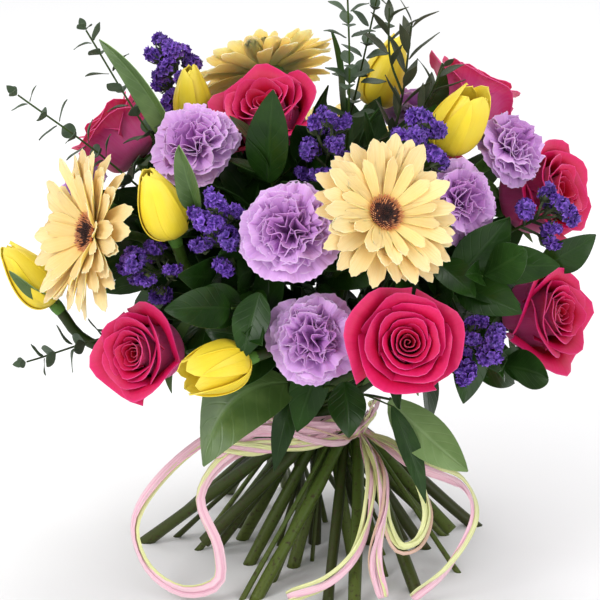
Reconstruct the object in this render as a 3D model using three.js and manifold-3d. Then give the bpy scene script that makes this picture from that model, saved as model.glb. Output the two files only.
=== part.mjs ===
// A hand-tied mixed bouquet that stands on the cut ends of its splayed stems.
// Millimetres, +Z up. The origin is the middle of the foot of the central stem, on the surface below.
// Azimuth 0 looks out of the front (-Y), 90 to the right (+X). Elevation is above the horizon. Both in degrees.
import * as THREE from "three";
import { mergeVertices } from "three/addons/utils/BufferGeometryUtils.js";
import Module from "manifold-3d";

const wasm = await Module();
wasm.setup();

// Driving dimensions
const TIE_HEIGHT = 94; // where the raffia binds the stems
const BUNDLE_RADIUS = 31; // of the stems that the tie presses together
const STEM_GAP = 0.4; // between stems at the tie
const CORE = { height: 160, radius: 52, rise: 66 }; // the dense middle of the head: its centre and half sizes
const SPLAY = 112; // how far outwards the widest stems run on their way from the tie down to their feet
const WIDEST_LEAN = 60; // lean of the outermost stems from the vertical, in degrees
const CLEARANCE = 0.35; // between pieces that touch on the real thing
const STEM_BEND = 34; // how far below its bloom a stem starts to bend

// Blooms: radius of the open flower, height above its green cup, depth of the cup, and stem radius
const ROSE = { radius: 35, height: 38, cup: 17, stem: 4 };
const CARNATION = { radius: 31, height: 27, cup: 25, stem: 2.9 };
const GERBERA = { radius: 51, height: 9, cup: 10, stem: 3.4, disc: 11, rays: 16 };
const TULIP = { radius: 16, height: 50, cup: 8, stem: 4 };

// Each bloom: the middle of its open face, where it faces, and its size beside the others
const ROSES = [
  { name: "rose_front", at: [56, -165, 200], azimuth: 5, elevation: 24, size: 1.05 },
  { name: "rose_front_left", at: [-116, -108, 173], azimuth: -38, elevation: 12, size: 0.95, shorter: 18 },
  { name: "rose_right", at: [161, -42, 178], azimuth: 52, elevation: 14, size: 1.06 },
  { name: "rose_top", at: [-34, -6, 311], azimuth: -30, elevation: 60, size: 1.12, central: true },
  { name: "rose_top_left", at: [-140, 50, 284], azimuth: -110, elevation: 42 },
  { name: "rose_top_right", at: [110, 52, 312], azimuth: 120, elevation: 55 },
  { name: "rose_far_right", at: [165, 12, 246], azimuth: 60, elevation: 20, size: 1.15, shorter: 12 },
  { name: "rose_back_right", at: [98, 124, 218], azimuth: 142, elevation: 20 },
  { name: "rose_back_left", at: [-72, 150, 205], azimuth: -155, elevation: 14 },
];
const CARNATIONS = [
  { name: "carnation_middle", at: [-18, -142, 267], azimuth: -8, elevation: 30, size: 1.03 },
  { name: "carnation_front", at: [-2, -146, 195], azimuth: -3, elevation: 18, size: 0.98 },
  { name: "carnation_upper_left", at: [-84, -50, 302], azimuth: -35, elevation: 48 },
  { name: "carnation_right", at: [99, -70, 266], azimuth: 38, elevation: 30, size: 0.92, shorter: 22 },
  { name: "carnation_upper_right", at: [136, -20, 290], azimuth: 62, elevation: 38, size: 0.88 },
  { name: "carnation_far_left", at: [-165, 8, 248], azimuth: -85, elevation: 26, size: 0.78 },
  { name: "carnation_back_right", at: [84, 110, 281], azimuth: 142, elevation: 45 },
  { name: "carnation_back_left", at: [-104, 104, 260], azimuth: -132, elevation: 34, shorter: 15 },
];
const GERBERAS = [
  { name: "gerbera_middle", at: [43, -141, 275], azimuth: 32, elevation: 34 },
  { name: "gerbera_left", at: [-148, -60, 238], azimuth: -62, elevation: 14, size: 1.1 },
  { name: "gerbera_top", at: [-34, 64, 315], azimuth: -157, elevation: 50 },
  { name: "gerbera_back", at: [20, 156, 225], azimuth: 172, elevation: 22 },
];
const TULIPS = [
  { name: "tulip_upper_left", at: [-82, 20, 327], azimuth: -20, elevation: 78, size: 0.88 },
  { name: "tulip_left", at: [-104, -97, 289], azimuth: -45, elevation: 66 },
  { name: "tulip_far_left", at: [-203, -10, 214], azimuth: -88, elevation: 52 },
  { name: "tulip_front", at: [-82, -150, 170], azimuth: -60, elevation: -7, size: 0.9, openness: 0.5 },
  { name: "tulip_upper_right", at: [104, -38, 326], azimuth: 62, elevation: 58, openness: 0.3 },
  { name: "tulip_top", at: [57, 84, 331], azimuth: 110, elevation: 66 },
  { name: "tulip_back", at: [4, 190, 170], azimuth: 180, elevation: 8 },
  { name: "tulip_back_left", at: [-172, 86, 214], azimuth: -116, elevation: 22, shorter: 16 },
];

// Leaves by kind: length, half width, stem radius, gap between leaves along the stem, and spread in degrees
const EUCALYPTUS = { length: 19, half: 4.4, stem: 1.3, gap: 22, spread: 62, paired: true };
const WILLOW = { length: 32, half: 4.5, stem: 1.5, gap: 15, spread: 38 };
const BROAD = { length: 76, half: 17, stem: 1.8, gap: 100, spread: 50, terminal: true };
const STATICE = { stem: 2 };
const RUSCUS = { length: 54, half: 14, stem: 1.8, gap: 30, spread: 55, terminal: true };

// Leafy stems: points from inside the head to the tip, and how far down from the tip the leaves go
const EUCALYPTUS_STEMS = [
  { name: "eucalyptus_left", path: [[-70, -4, 205], [-134, -2, 268], [-192, 0, 312]], leafy: 110 },
  { name: "eucalyptus_upper_left", path: [[-60, 4, 220], [-108, -8, 290], [-148, 12, 352]], leafy: 100 },
  { name: "eucalyptus_top", path: [[18, 12, 230], [22, 8, 320], [20, 2, 388]], leafy: 95 },
  { name: "eucalyptus_top_back", path: [[10, 40, 230], [26, 40, 300], [40, 28, 370]], leafy: 80 },
  { name: "eucalyptus_low_left", path: [[-60, -30, 150], [-120, -46, 165], [-186, -58, 150]], leafy: 100 },
];
const WILLOW_STEMS = [
  { name: "willow_top", path: [[30, -2, 220], [54, 0, 300], [62, 8, 358]], leafy: 90, shoots: 2 },
];
const RUSCUS_STEMS = [
  { name: "ruscus_top", path: [[-16, -36, 200], [-28, -48, 268]], leafy: 60 },
  { name: "ruscus_front", path: [[-18, -74, 170], [-38, -104, 200], [-52, -124, 208]], leafy: 90 },
  { name: "ruscus_right", path: [[46, -40, 170], [104, -90, 218]], leafy: 90 },
  { name: "ruscus_far_right", path: [[50, -18, 140], [118, -64, 150]], leafy: 80 },
  { name: "ruscus_low", path: [[-4, -42, 116], [6, -78, 140], [16, -102, 148]], leafy: 60 },
  { name: "ruscus_back", path: [[-30, 60, 180], [-40, 118, 256]], leafy: 90 },
  { name: "ruscus_back_right", path: [[40, 50, 140], [62, 128, 156]], leafy: 90 },
  { name: "ruscus_back_left", path: [[-40, 34, 130], [-84, 96, 158]], leafy: 90 },
];
const BROAD_STEMS = [
  { name: "broad_leaf_left", path: [[4, -42, 122], [1, -62, 138], [-14, -79, 143]], leafy: 0 },
  { name: "broad_leaf_right", path: [[20, -40, 118], [32, -62, 129], [48, -71, 129]], leafy: 0 },
];

// Statice: points from inside the head to the middle of the flower cluster
const STATICE_STEMS = [
  { name: "statice_upper_left", path: [[-50, 40, 230], [-96, 66, 318]], size: 0.9 },
  { name: "statice_top_middle", path: [[2, -40, 200], [8, -66, 300]], size: 1.1 },
  { name: "statice_top_right", path: [[44, -40, 200], [64, -64, 302]], size: 1 },
  { name: "statice_left", path: [[-40, -64, 184], [-60, -112, 262]], size: 1 },
  { name: "statice_far_left", path: [[-60, -36, 190], [-106, -84, 222]], size: 0.75 },
  { name: "statice_low_right", path: [[60, -60, 150], [104, -108, 180]], size: 1 },
  { name: "statice_right", path: [[90, -10, 200], [149, -38, 244]], size: 0.6 },
];

// Raffia: points on the middle of each strip, from the knot outwards, and the strip's half width
const STRIP_THICKNESS = 0.8;
const KNOT = { at: [30.9, -27.9, 94], radius: 9 };
const RAFFIA_STRIPS = [
  {
    half: 4.6,
    loop: true,
    path: [
      [30, -33, 97], [-8, -43, 98], [-62, -50, 97], [-102, -72, 72], [-117, -82, 46], [-108, -92, 20],
      [-84, -99, 7], [-62, -99, 14], [-62, -90, 34], [-74, -70, 62], [-52, -52, 86], [-4, -42, 88], [30, -33, 92],
    ],
  },
  { half: 4.6, path: [[30, -31, 95], [64, -58, 80], [96, -66, 69], [103, -78, 51], [85, -96, 21], [62, -104, 5]] },
  {
    half: 4.2,
    loop: true,
    path: [
      [30, -31, 93], [58, -58, 86], [70, -70, 65], [73, -80, 49], [56, -90, 32], [46, -82, 49], [42, -62, 78],
      [30, -31, 91],
    ],
  },
  { half: 4.4, path: [[30, -31, 92], [42, -64, 80], [44, -80, 61], [38, -98, 29], [44, -110, 8]] },
  { half: 4.4, path: [[30, -31, 91], [36, -72, 71], [27, -95, 37], [8, -106, 18], [-18, -110, 8]] },
  { half: 3.6, path: [[30, -31, 94], [37, -48, 111], [38, -56, 124]] },
];

// Colours
const COLOURS = {
  rose: new THREE.MeshStandardMaterial({ color: 0xd4145f, roughness: 0.55 }),
  carnation: new THREE.MeshStandardMaterial({ color: 0xc996dc, roughness: 0.7 }),
  ray: new THREE.MeshStandardMaterial({ color: 0xf7dd95, roughness: 0.6 }),
  disc: new THREE.MeshStandardMaterial({ color: 0x6b3a2c, roughness: 0.85 }),
  tulip: new THREE.MeshStandardMaterial({ color: 0xf3d52c, roughness: 0.45 }),
  statice: new THREE.MeshStandardMaterial({ color: 0x5a2fa8, roughness: 0.8 }),
  stem: new THREE.MeshStandardMaterial({ color: 0x4c5c2a, roughness: 0.6 }),
  eucalyptus: new THREE.MeshStandardMaterial({ color: 0x4f6a4a, roughness: 0.65 }),
  willow: new THREE.MeshStandardMaterial({ color: 0x4a4f43, roughness: 0.6 }),
  ruscus: new THREE.MeshStandardMaterial({ color: 0x23521f, roughness: 0.4 }),
  broad: new THREE.MeshStandardMaterial({ color: 0x4f7a3c, roughness: 0.45 }),
  raffia: new THREE.MeshStandardMaterial({ color: 0xe6acc2, roughness: 0.75 }),
};

// Directions, places and curves

const UP = new THREE.Vector3(0, 0, 1);
const radians = THREE.MathUtils.degToRad;

function point(x, y, z) {
  return new THREE.Vector3(x, y, z);
}

function heading(azimuth, elevation = 0) {
  const [a, e] = [radians(azimuth), radians(elevation)];
  return point(Math.sin(a) * Math.cos(e), -Math.cos(a) * Math.cos(e), Math.sin(e));
}

// A matrix whose +Z runs along the facing direction and whose +X is level.
function facing(position, azimuth, elevation) {
  const axis = heading(azimuth, elevation);
  const level = heading(azimuth + 90);
  return new THREE.Matrix4()
    .makeBasis(level, new THREE.Vector3().crossVectors(axis, level), axis)
    .setPosition(position);
}

function smooth(points) {
  return new THREE.CatmullRomCurve3(points, false, "centripetal");
}

function mixed(first, second, share) {
  return first.map((p, i) => p.map((value, k) => value + (second[i][k] - value) * share));
}

// Solids

function solidOf(geometry) {
  const bare = new THREE.BufferGeometry().setAttribute("position", geometry.getAttribute("position"));
  if (geometry.index) bare.setIndex(geometry.index);
  const merged = mergeVertices(bare, 1e-3);
  return new wasm.Manifold(
    new wasm.Mesh({
      numProp: 3,
      vertProperties: merged.attributes.position.array,
      triVerts: new Uint32Array(merged.index.array),
    }),
  );
}

function joined(solids) {
  return solids.reduce((all, solid) => all.add(solid));
}

function geometryOf(solid) {
  const { numProp, numVert, vertProperties, triVerts } = solid.getMesh();
  const position = new Float32Array(numVert * 3);
  for (let i = 0; i < numVert; i++) {
    position.set(vertProperties.subarray(i * numProp, i * numProp + 3), i * 3);
  }
  const geometry = new THREE.BufferGeometry()
    .setAttribute("position", new THREE.BufferAttribute(position, 3))
    .setIndex(new THREE.BufferAttribute(triVerts, 1));
  geometry.computeVertexNormals();
  return geometry;
}

function crosses(solid, others) {
  const { min, max } = solid.boundingBox();
  return others.some((other) => {
    const box = other.boundingBox();
    const apart = [0, 1, 2].some((k) => box.max[k] < min[k] || box.min[k] > max[k]);
    return !apart && solid.intersect(other).volume() > 0;
  });
}

// A closed ribbon whose middle runs through surface(0, v), v from 0 to 1, and whose sides lie at u of -1 and 1.
function ribbon(along, surface, thickness) {
  const step = 1e-3;
  const corners = [];
  for (let i = 0; i <= along; i++) {
    const v = i / along;
    const ahead = v > 0.5 ? -step : step;
    const [left, right] = [surface(-1, v), surface(1, v)];
    const slope = surface(0, v + ahead).sub(surface(0, v)).divideScalar(ahead);
    const half = right.clone().sub(left).cross(slope).setLength(thickness / 2);
    for (const [side, sign] of [[left, 1], [right, 1], [right, -1], [left, -1]]) {
      corners.push(side.clone().addScaledVector(half, sign));
    }
  }
  const faces = [0, 2, 1, 0, 3, 2];
  for (let a = 0; a < 4 * along; a += 4) {
    faces.push(a, a + 1, a + 5, a, a + 5, a + 4);
    faces.push(a + 1, a + 2, a + 6, a + 1, a + 6, a + 5);
    faces.push(a + 2, a + 3, a + 6, a + 3, a + 7, a + 6);
    faces.push(a + 3, a, a + 4, a + 3, a + 4, a + 7);
  }
  const end = 4 * along;
  faces.push(end, end + 1, end + 2, end, end + 2, end + 3);
  return new THREE.BufferGeometry().setFromPoints(corners).setIndex(faces);
}

// A pointed leaf or ray along +X with a rib along its upper side, and three-sided sections.
// stations lists [share of the length, half width, lift] from the root to just before the tip.
function ribbed(length, stations, thickness, tipLift) {
  const corners = [0, 0, 0];
  for (const [share, half, lift] of stations) {
    const x = share * length;
    corners.push(x, half, lift, x, 0, lift + thickness, x, -half, lift);
  }
  corners.push(length, 0, tipLift);
  const faces = [];
  const last = 1 + 3 * (stations.length - 1);
  for (let k = 0; k < 3; k++) {
    const next = (k + 1) % 3;
    faces.push(0, 1 + next, 1 + k);
    for (let a = 1; a < last; a += 3) {
      faces.push(a + k, a + next + 3, a + k + 3, a + k, a + next, a + next + 3);
    }
    faces.push(last + k, last + next, last + 3);
  }
  return new THREE.BufferGeometry()
    .setAttribute("position", new THREE.Float32BufferAttribute(corners, 3))
    .setIndex(faces);
}

// A solid turned about +Z from a [radius, height] profile that rises from axis to axis.
function turned(profile, sides) {
  const outline = profile.map(([radius, height]) => new THREE.Vector2(radius, height));
  return new THREE.LatheGeometry(outline, sides).rotateX(Math.PI / 2);
}

function tube(curve, radius, sides, steps) {
  const corners = Array.from({ length: sides }, (_, k) => {
    const angle = (2 * Math.PI * k) / sides;
    return new THREE.Vector2(radius * Math.cos(angle), radius * Math.sin(angle));
  });
  return new THREE.ExtrudeGeometry(new THREE.Shape(corners), { steps, bevelEnabled: false, extrudePath: curve });
}

// Blooms, each about its own +Z with its base at the origin

// A closed skin over rings of corners, from a point below them to a point above or among them.
function skin(bottom, rings, top) {
  const columns = rings[0].length;
  const corners = [bottom, ...rings.flat(), top];
  const faces = [];
  const last = 1 + columns * (rings.length - 1);
  for (let k = 0; k < columns; k++) {
    const next = (k + 1) % columns;
    faces.push(0, 1 + next, 1 + k);
    for (let a = 1; a < last; a += columns) {
      faces.push(a + k, a + next, a + next + columns, a + k, a + next + columns, a + k + columns);
    }
    faces.push(last + k, last + next, corners.length - 1);
  }
  return new THREE.BufferGeometry().setFromPoints(corners).setIndex(faces);
}

// A ring of corners round the axis. Its [radius, height, turn] places repeat round it, petal by petal.
function ring(columns, places) {
  return Array.from({ length: columns }, (_, k) => {
    const [radius, height, turn = 0] = places[k % places.length];
    const angle = radians((360 * k) / columns + turn);
    return point(radius * Math.cos(angle), radius * Math.sin(angle), height);
  });
}

// A ring through a whorl of overlapping petals: each one's leading edge stands outside the trailing
// edge of the one before, and the corners of its rim dip.
function overlapping(columns, petals, radius, height, lap, dip = 0) {
  const share = columns / petals;
  const edge = 1.5;
  const places = Array.from({ length: share }, (_, j) => {
    const u = (2 * j) / (share - 1) - 1;
    const inPetal = 180 / petals + u * (180 / petals - edge);
    return [radius - lap * u, height - dip * u * u, inPetal - (360 * j) / columns];
  });
  return ring(columns, places);
}

function roseBloom() {
  const { radius } = ROSE;
  const columns = 15;
  const outer = (r, h, dip, lap = 1.8) => overlapping(columns, 5, r, h, lap, dip);
  const inner = (r, h, dip) => overlapping(columns, 3, r, h, 1.5, dip);
  const rings = [
    outer(11, 0.5, 0),
    outer(radius - 5, 8, 0),
    outer(radius - 9, 19, 0),
    outer(radius, 30, 4),
    outer(19, 25, 0, 1),
    inner(22, 37, 3),
    inner(14, 27, 0),
    inner(13.5, 40, 2),
    inner(6, 31, 0),
  ];
  return solidOf(skin(point(0, 0, 0), rings, point(0, 0, 39)));
}

function carnationBloom() {
  const { radius } = CARNATION;
  const columns = 12;
  const frill = (r, h, wave) => ring(columns, [[r, h + wave], [r * 0.86, h - wave], [r * 0.96, h]]);
  const fold = (r, h) => ring(columns, [[r, h]]);
  const rings = [
    fold(4.5, 0),
    frill(radius, 8, 2.4),
    fold(11, 9),
    frill(radius * 0.82, 16, 2),
    fold(8.5, 14),
    frill(radius * 0.58, 23, 2),
    fold(5, 18),
    frill(radius * 0.26, 27, 1),
  ];
  return solidOf(skin(point(0, 0, 0), rings, point(0, 0, 21)));
}

function gerberaRays() {
  const root = 8;
  const hub = solidOf(turned([[0, 0], [9, 0], [13, 2.5], [13, 5], [0, 5]], 9));
  const rays = Array.from({ length: GERBERA.rays }, (_, i) => {
    const inner = i % 2;
    const length = GERBERA.radius - root - (inner ? 6 : 0);
    const rise = inner ? 3.6 : 1.2;
    const stations = [[0.4, 4.8, 1.6], [0.86, 5, 3.4]];
    const ray = ribbed(length, stations, 1.2, 2.6).translate(root, 0, rise);
    return solidOf(ray.rotateZ((2 * Math.PI * i) / GERBERA.rays));
  });
  return joined([hub, ...rays]);
}

function gerberaDisc() {
  const { disc, height } = GERBERA;
  const seat = 5 + CLEARANCE;
  return solidOf(turned([[0, seat], [9, seat], [disc, 7.4], [7, height], [0, height - 1.4]], 9));
}

// Three outer petals and three inner ones that show between them. Each ring's places run from the middle
// of an outer petal, over its side, to the middle of an inner one, and back.
function tulipBloom({ openness = 0 }) {
  const { radius, height } = TULIP;
  const petals = (closed, open) => {
    const [middle, side, between] = mixed(closed, open, openness);
    return ring(12, [middle, side, between, side]);
  };
  const even = (r, h) => Array(3).fill([r, h]);
  const rings = [
    petals(even(4, 0), even(4, 0)),
    petals(even(radius - 2, 8), even(radius, 7)),
    petals(even(radius, 24), even(radius + 3, 20)),
    petals([[3.6, height], [12, height - 11], [15, 27]], [[22, height - 6], [20, height - 15], [18, 23]]),
    petals([[2.2, height - 8], [9.6, height - 16], [13, 25]], [[12, height - 22], [13, height - 26], [15, 19]]),
    petals([[1.8, height - 11], [6, height - 9], [3.4, height - 2]], [[8, 24], [12, 31], [16, height - 9]]),
  ];
  return solidOf(skin(point(0, 0, 0), rings, point(0, 0, openness > 0 ? 16 : height - 16)));
}

// The green cups that hold the blooms, each below its bloom's base on the same axis

function roseHip() {
  const rings = [[[ROSE.stem + 1, -ROSE.cup]], [[7.5, -9]], [[20, -7], [7, -3]], [[6.5, -CLEARANCE]]];
  const bottom = point(0, 0, -ROSE.cup);
  return solidOf(skin(bottom, rings.map((places) => ring(8, places)), point(0, 0, -CLEARANCE)));
}

function carnationCalyx() {
  const { cup, stem } = CARNATION;
  return solidOf(turned([[0, -cup], [stem + 1, -cup], [5.6, -CLEARANCE], [0, -CLEARANCE]], 6));
}

function gerberaCup() {
  const { cup, stem } = GERBERA;
  return solidOf(turned([[0, -cup], [stem + 1, -cup], [10, -4], [9.5, -CLEARANCE], [0, -CLEARANCE]], 8));
}

function tulipSeat() {
  const { cup, stem } = TULIP;
  return solidOf(turned([[0, -cup], [stem + 1, -cup], [4.2, -CLEARANCE], [0, -CLEARANCE]], 6));
}

// Stems. Each runs straight up from its foot, passes the tie at its own side of the axis as in a
// hand-turned spiral, and bends to its bloom. Higher blooms stand steeper and nearer the axis.

// The lean from the vertical and the azimuth at which a stem leaves the tie for a place in the head.
function departure(place) {
  const reach = place.clone().sub(point(0, 0, TIE_HEIGHT));
  const azimuth = THREE.MathUtils.radToDeg(Math.atan2(reach.x, -reach.y));
  return { azimuth, lean: THREE.MathUtils.radToDeg(reach.angleTo(UP)) };
}

function stemStart({ waist, outwards, lean, shorter = 0 }) {
  const share = Math.min(lean / WIDEST_LEAN, 1);
  const foot = waist.clone().addScaledVector(heading(outwards), -SPLAY * share).setZ(0);
  return [foot.lerp(waist, shorter > 0 ? shorter / TIE_HEIGHT : -4 / TIE_HEIGHT), waist];
}

function flowerStem(bloom, kind) {
  const axis = heading(bloom.azimuth, bloom.elevation);
  const size = bloom.size ?? 1;
  const base = point(...bloom.at).addScaledVector(axis, -kind.height * size);
  const top = base.clone().addScaledVector(axis, 2 - kind.cup * size);
  const below = base.clone().addScaledVector(axis, -STEM_BEND);
  return solidOf(tube(smooth([...stemStart(bloom), below, top]), kind.stem, 3, 4));
}

// A stretch of a longer curve, between two shares of its length.
class Stretch extends THREE.Curve {
  constructor(whole, from, to) {
    super();
    Object.assign(this, { whole, from, to });
  }

  getPoint(share, target = new THREE.Vector3()) {
    return this.whole.getPointAt(this.from + (this.to - this.from) * share, target);
  }
}

function inCore({ x, y, z }, margin) {
  return Math.hypot(x / (CORE.radius + margin), y / (CORE.radius + margin), (z - CORE.height) / (CORE.rise + margin)) < 1;
}

// A leafy stem's whole curve and its two stretches: bare among the other stems, then clear of them.
function leafyCurve(stem, kind) {
  const path = stem.path.map((p) => point(...p));
  const whole = smooth([...stemStart(stem), ...path]);
  const samples = 80;
  const inHead = whole.getSpacedPoints(samples).map((place, i) => 2 * i < samples || inCore(place, kind.stem + 3));
  const split = (inHead.lastIndexOf(true) + 1) / samples;
  const gap = CLEARANCE / whole.getLength();
  return { whole, bare: new Stretch(whole, 0, split), clear: new Stretch(whole, split + gap, 1) };
}

function cutLevel(solid) {
  const depth = 40;
  const below = new THREE.BoxGeometry(600, 600, depth).translate(0, 0, -depth / 2);
  return solid.subtract(solidOf(below));
}

// Leafy stems

// A place on a curve: its direction there, and a side direction turned about the curve.
function sprout(curve, distance, turn) {
  const share = distance / curve.getLength();
  const along = curve.getTangentAt(share);
  const level = new THREE.Vector3().crossVectors(along, Math.abs(along.z) < 0.9 ? UP : point(0, 1, 0));
  return { at: curve.getPointAt(share), along, side: level.normalize().applyAxisAngle(along, radians(turn)) };
}

// A matrix that sets a leaf, made along +X with its upper side to +Z, growing from a sprout.
function growing({ at, along, side }, spread) {
  const length = along.clone().multiplyScalar(Math.cos(radians(spread)));
  length.addScaledVector(side, Math.sin(radians(spread)));
  const width = new THREE.Vector3().crossVectors(along, side);
  return new THREE.Matrix4()
    .makeBasis(length, width, new THREE.Vector3().crossVectors(length, width))
    .setPosition(at);
}

function leaf({ length, half }, size = 1) {
  const [l, h] = [length * size, half * size];
  return ribbed(l, [[0.3, h * 0.86, 0.04 * l], [0.62, h * 0.84, 0.05 * l]], 1.1, -0.02 * l);
}

// The leaves of one stem. A leaf that would cross a neighbour turns aside, or is left off.
function foliage(curve, kind, leafy, neighbours, bare = 0) {
  const leaves = [];
  const length = curve.getLength();
  const turns = [0, 25, -25, 50, -50];
  const count = Math.floor(leafy / kind.gap);
  for (let i = 0; i <= count; i++) {
    const distance = length - 2 - i * kind.gap;
    if (distance < bare + 2) break;
    const size = 0.75 + 0.25 * Math.min(i / 2, 1);
    const rolls = kind.paired ? [90 * i, 90 * i + 180] : [137.5 * i];
    for (const roll of rolls) {
      const candidates = turns.map((turn) => growing(sprout(curve, distance, roll + turn), kind.spread));
      const placed = candidates.map((place) => solidOf(leaf(kind, size).applyMatrix4(place)));
      const clear = placed.find((candidate) => !crosses(candidate, neighbours));
      if (clear) leaves.push(clear);
    }
  }
  return leaves;
}

function leafyStem(stem, kind, neighbours) {
  const { whole, clear } = leafyCurve(stem, kind);
  const steps = Math.ceil(clear.getLength() / 20);
  const solids = [solidOf(tube(clear, kind.stem, 3, steps)), ...foliage(whole, kind, stem.leafy, neighbours, clear.from * whole.getLength())];
  if (kind.terminal) {
    const place = growing(sprout(whole, whole.getLength() - 3, 60), 8);
    solids.push(solidOf(leaf(kind).applyMatrix4(place)));
  }
  for (let i = 0; i < (stem.shoots ?? 0); i++) {
    const start = sprout(whole, whole.getLength() - stem.leafy * (0.85 - 0.3 * i), 180 * i);
    const bend = start.at.clone().addScaledVector(start.along, 22).addScaledVector(start.side, 12);
    const tip = start.at.clone().addScaledVector(start.along, 54).addScaledVector(start.side, 18);
    const shoot = smooth([start.at, bend, tip]);
    solids.push(solidOf(tube(shoot, kind.stem * 0.8, 3, 2)), ...foliage(shoot, kind, 40, neighbours));
  }
  return joined(solids);
}

// A spray of statice: branches that fan from the stem's top, lined with small cups.
function staticeSpray(stem, kind) {
  const { whole, clear } = leafyCurve(stem, kind);
  const branches = 4;
  const reach = 26 * stem.size;
  const solids = [solidOf(tube(clear, kind.stem, 3, 3))];
  for (let i = 0; i < branches; i++) {
    const start = sprout(whole, whole.getLength() - 12, (360 * i) / (branches - 1));
    const direction = new THREE.Vector3().setFromMatrixColumn(growing(start, i ? 48 : 8), 0);
    const branch = new THREE.LineCurve3(start.at, start.at.clone().addScaledVector(direction, reach));
    solids.push(solidOf(tube(branch, 1.2, 3, 1)));
    for (const [share, lean] of i ? [[0.5, 52], [0.86, 0]] : [[0.86, 0]]) {
      const cup = new THREE.ConeGeometry(6.5, 11, 4).rotateZ(Math.PI / 2).translate(5, 0, 0);
      solids.push(solidOf(cup.applyMatrix4(growing(sprout(branch, reach * share, 180 * i), lean))));
    }
  }
  return joined(solids);
}

// Raffia

// A strip is gathered where it leaves the knot. A loop comes back to it.
function strip({ path, half, loop = false }) {
  const curve = smooth(path.map((p) => point(...p)));
  const surface = (u, v) => {
    const at = curve.getPointAt(v);
    const outward = at.clone().setZ(0).normalize();
    const side = new THREE.Vector3().crossVectors(curve.getTangentAt(v), outward).normalize();
    const gathered = Math.min(1, 0.25 + 5 * v, loop ? 5.25 - 5 * v : 1);
    return at.addScaledVector(side, u * half * gathered);
  };
  return solidOf(ribbon(Math.round(curve.getLength() / 30), surface, STRIP_THICKNESS));
}

function raffiaBand() {
  const inside = BUNDLE_RADIUS + 6 * CLEARANCE;
  const outline = [[0, -5.5], [1.6, -5.5], [1.2, 0], [1.6, 5.5], [0, 5.5], [0, -5.5]];
  return turned(outline.map(([r, h]) => [inside + r, TIE_HEIGHT + h]), 20);
}

// Assembly

const bouquet = new THREE.Group();

function addPiece(name, geometry, colour, place) {
  const mesh = new THREE.Mesh(geometry, colour);
  mesh.name = name;
  if (place) mesh.applyMatrix4(place);
  bouquet.add(mesh);
  return mesh;
}

const flowers = [
  { list: ROSES, kind: ROSE, colour: COLOURS.rose, make: roseBloom, cup: roseHip },
  { list: CARNATIONS, kind: CARNATION, colour: COLOURS.carnation, make: carnationBloom, cup: carnationCalyx },
  { list: GERBERAS, kind: GERBERA, colour: COLOURS.ray, make: gerberaRays, cup: gerberaCup },
  { list: TULIPS, kind: TULIP, colour: COLOURS.tulip, make: tulipBloom, cup: tulipSeat },
];
const greenery = [
  { list: STATICE_STEMS, kind: STATICE, colour: COLOURS.statice, make: staticeSpray },
  { list: EUCALYPTUS_STEMS, kind: EUCALYPTUS, colour: COLOURS.eucalyptus, make: leafyStem },
  { list: WILLOW_STEMS, kind: WILLOW, colour: COLOURS.willow, make: leafyStem },
  { list: RUSCUS_STEMS, kind: RUSCUS, colour: COLOURS.ruscus, make: leafyStem },
  { list: BROAD_STEMS, kind: BROAD, colour: COLOURS.broad, make: leafyStem },
];

// The central stem stands upright on the axis. The further another leans, the further out it passes the tie,
// a quarter turn round from the side that it leans to. Then all are pushed apart until they lie side by side.
const stalks = [...flowers, ...greenery].flatMap(({ list, kind }) => {
  return list.map((stalk) => {
    const { azimuth, lean } = departure(point(...(stalk.at ?? stalk.path[0])));
    return Object.assign(stalk, { thickness: kind.stem, outwards: azimuth, lean: stalk.central ? 0 : lean });
  });
});
stalks.sort((a, b) => a.lean - b.lean);
stalks.forEach((stalk, rank) => {
  const radius = (BUNDLE_RADIUS - 5) * Math.sqrt(rank / stalks.length);
  stalk.waist = heading(stalk.outwards - 90).multiplyScalar(radius).setZ(TIE_HEIGHT);
});
for (let pass = 0; pass < 60; pass++) {
  for (const one of stalks) {
    for (const other of stalks) {
      const apart = one.waist.clone().sub(other.waist);
      const short = one.thickness + other.thickness + STEM_GAP - apart.length();
      if (one === other || short <= 0) continue;
      apart.setLength(short / 2);
      if (!one.central) one.waist.add(apart);
      if (!other.central) other.waist.sub(apart);
    }
  }
}

const neighbours = [];
const bundle = [];
for (const { list, kind, colour, make, cup } of flowers) {
  list.forEach((bloom, index) => {
    const size = bloom.size ?? 1;
    const axis = heading(bloom.azimuth, bloom.elevation);
    const base = point(...bloom.at).addScaledVector(axis, -kind.height * size);
    const place = facing(base, bloom.azimuth, bloom.elevation)
      .multiply(new THREE.Matrix4().makeRotationZ(index))
      .scale(point(size, size, size));
    const geometry = geometryOf(make(bloom));
    addPiece(bloom.name, geometry, colour, place);
    neighbours.push(solidOf(geometry.clone().applyMatrix4(place)));
    bundle.push(flowerStem(bloom, kind), solidOf(geometryOf(cup()).applyMatrix4(place)));
    if (kind === GERBERA) addPiece(`${bloom.name}_disc`, geometryOf(gerberaDisc()), COLOURS.disc, place);
  });
}
for (const { list, kind } of greenery) {
  bundle.push(...list.map((stem) => solidOf(tube(leafyCurve(stem, kind).bare, kind.stem, 3, 3))));
}
const core = new THREE.SphereGeometry(1, 8, 6).rotateX(Math.PI / 2).scale(CORE.radius, CORE.radius, CORE.rise);
bundle.push(solidOf(core.translate(0, 0, CORE.height)));
const stems = cutLevel(joined(bundle));
addPiece("stems", geometryOf(stems), COLOURS.stem);

const band = raffiaBand();
addPiece("raffia_band", band, COLOURS.raffia);
const knot = new THREE.IcosahedronGeometry(KNOT.radius, 0).scale(1, 0.7, 1).translate(...KNOT.at);
const bow = joined([solidOf(knot), ...RAFFIA_STRIPS.map(strip)]);
addPiece("raffia_bow", geometryOf(bow), COLOURS.raffia);

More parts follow.
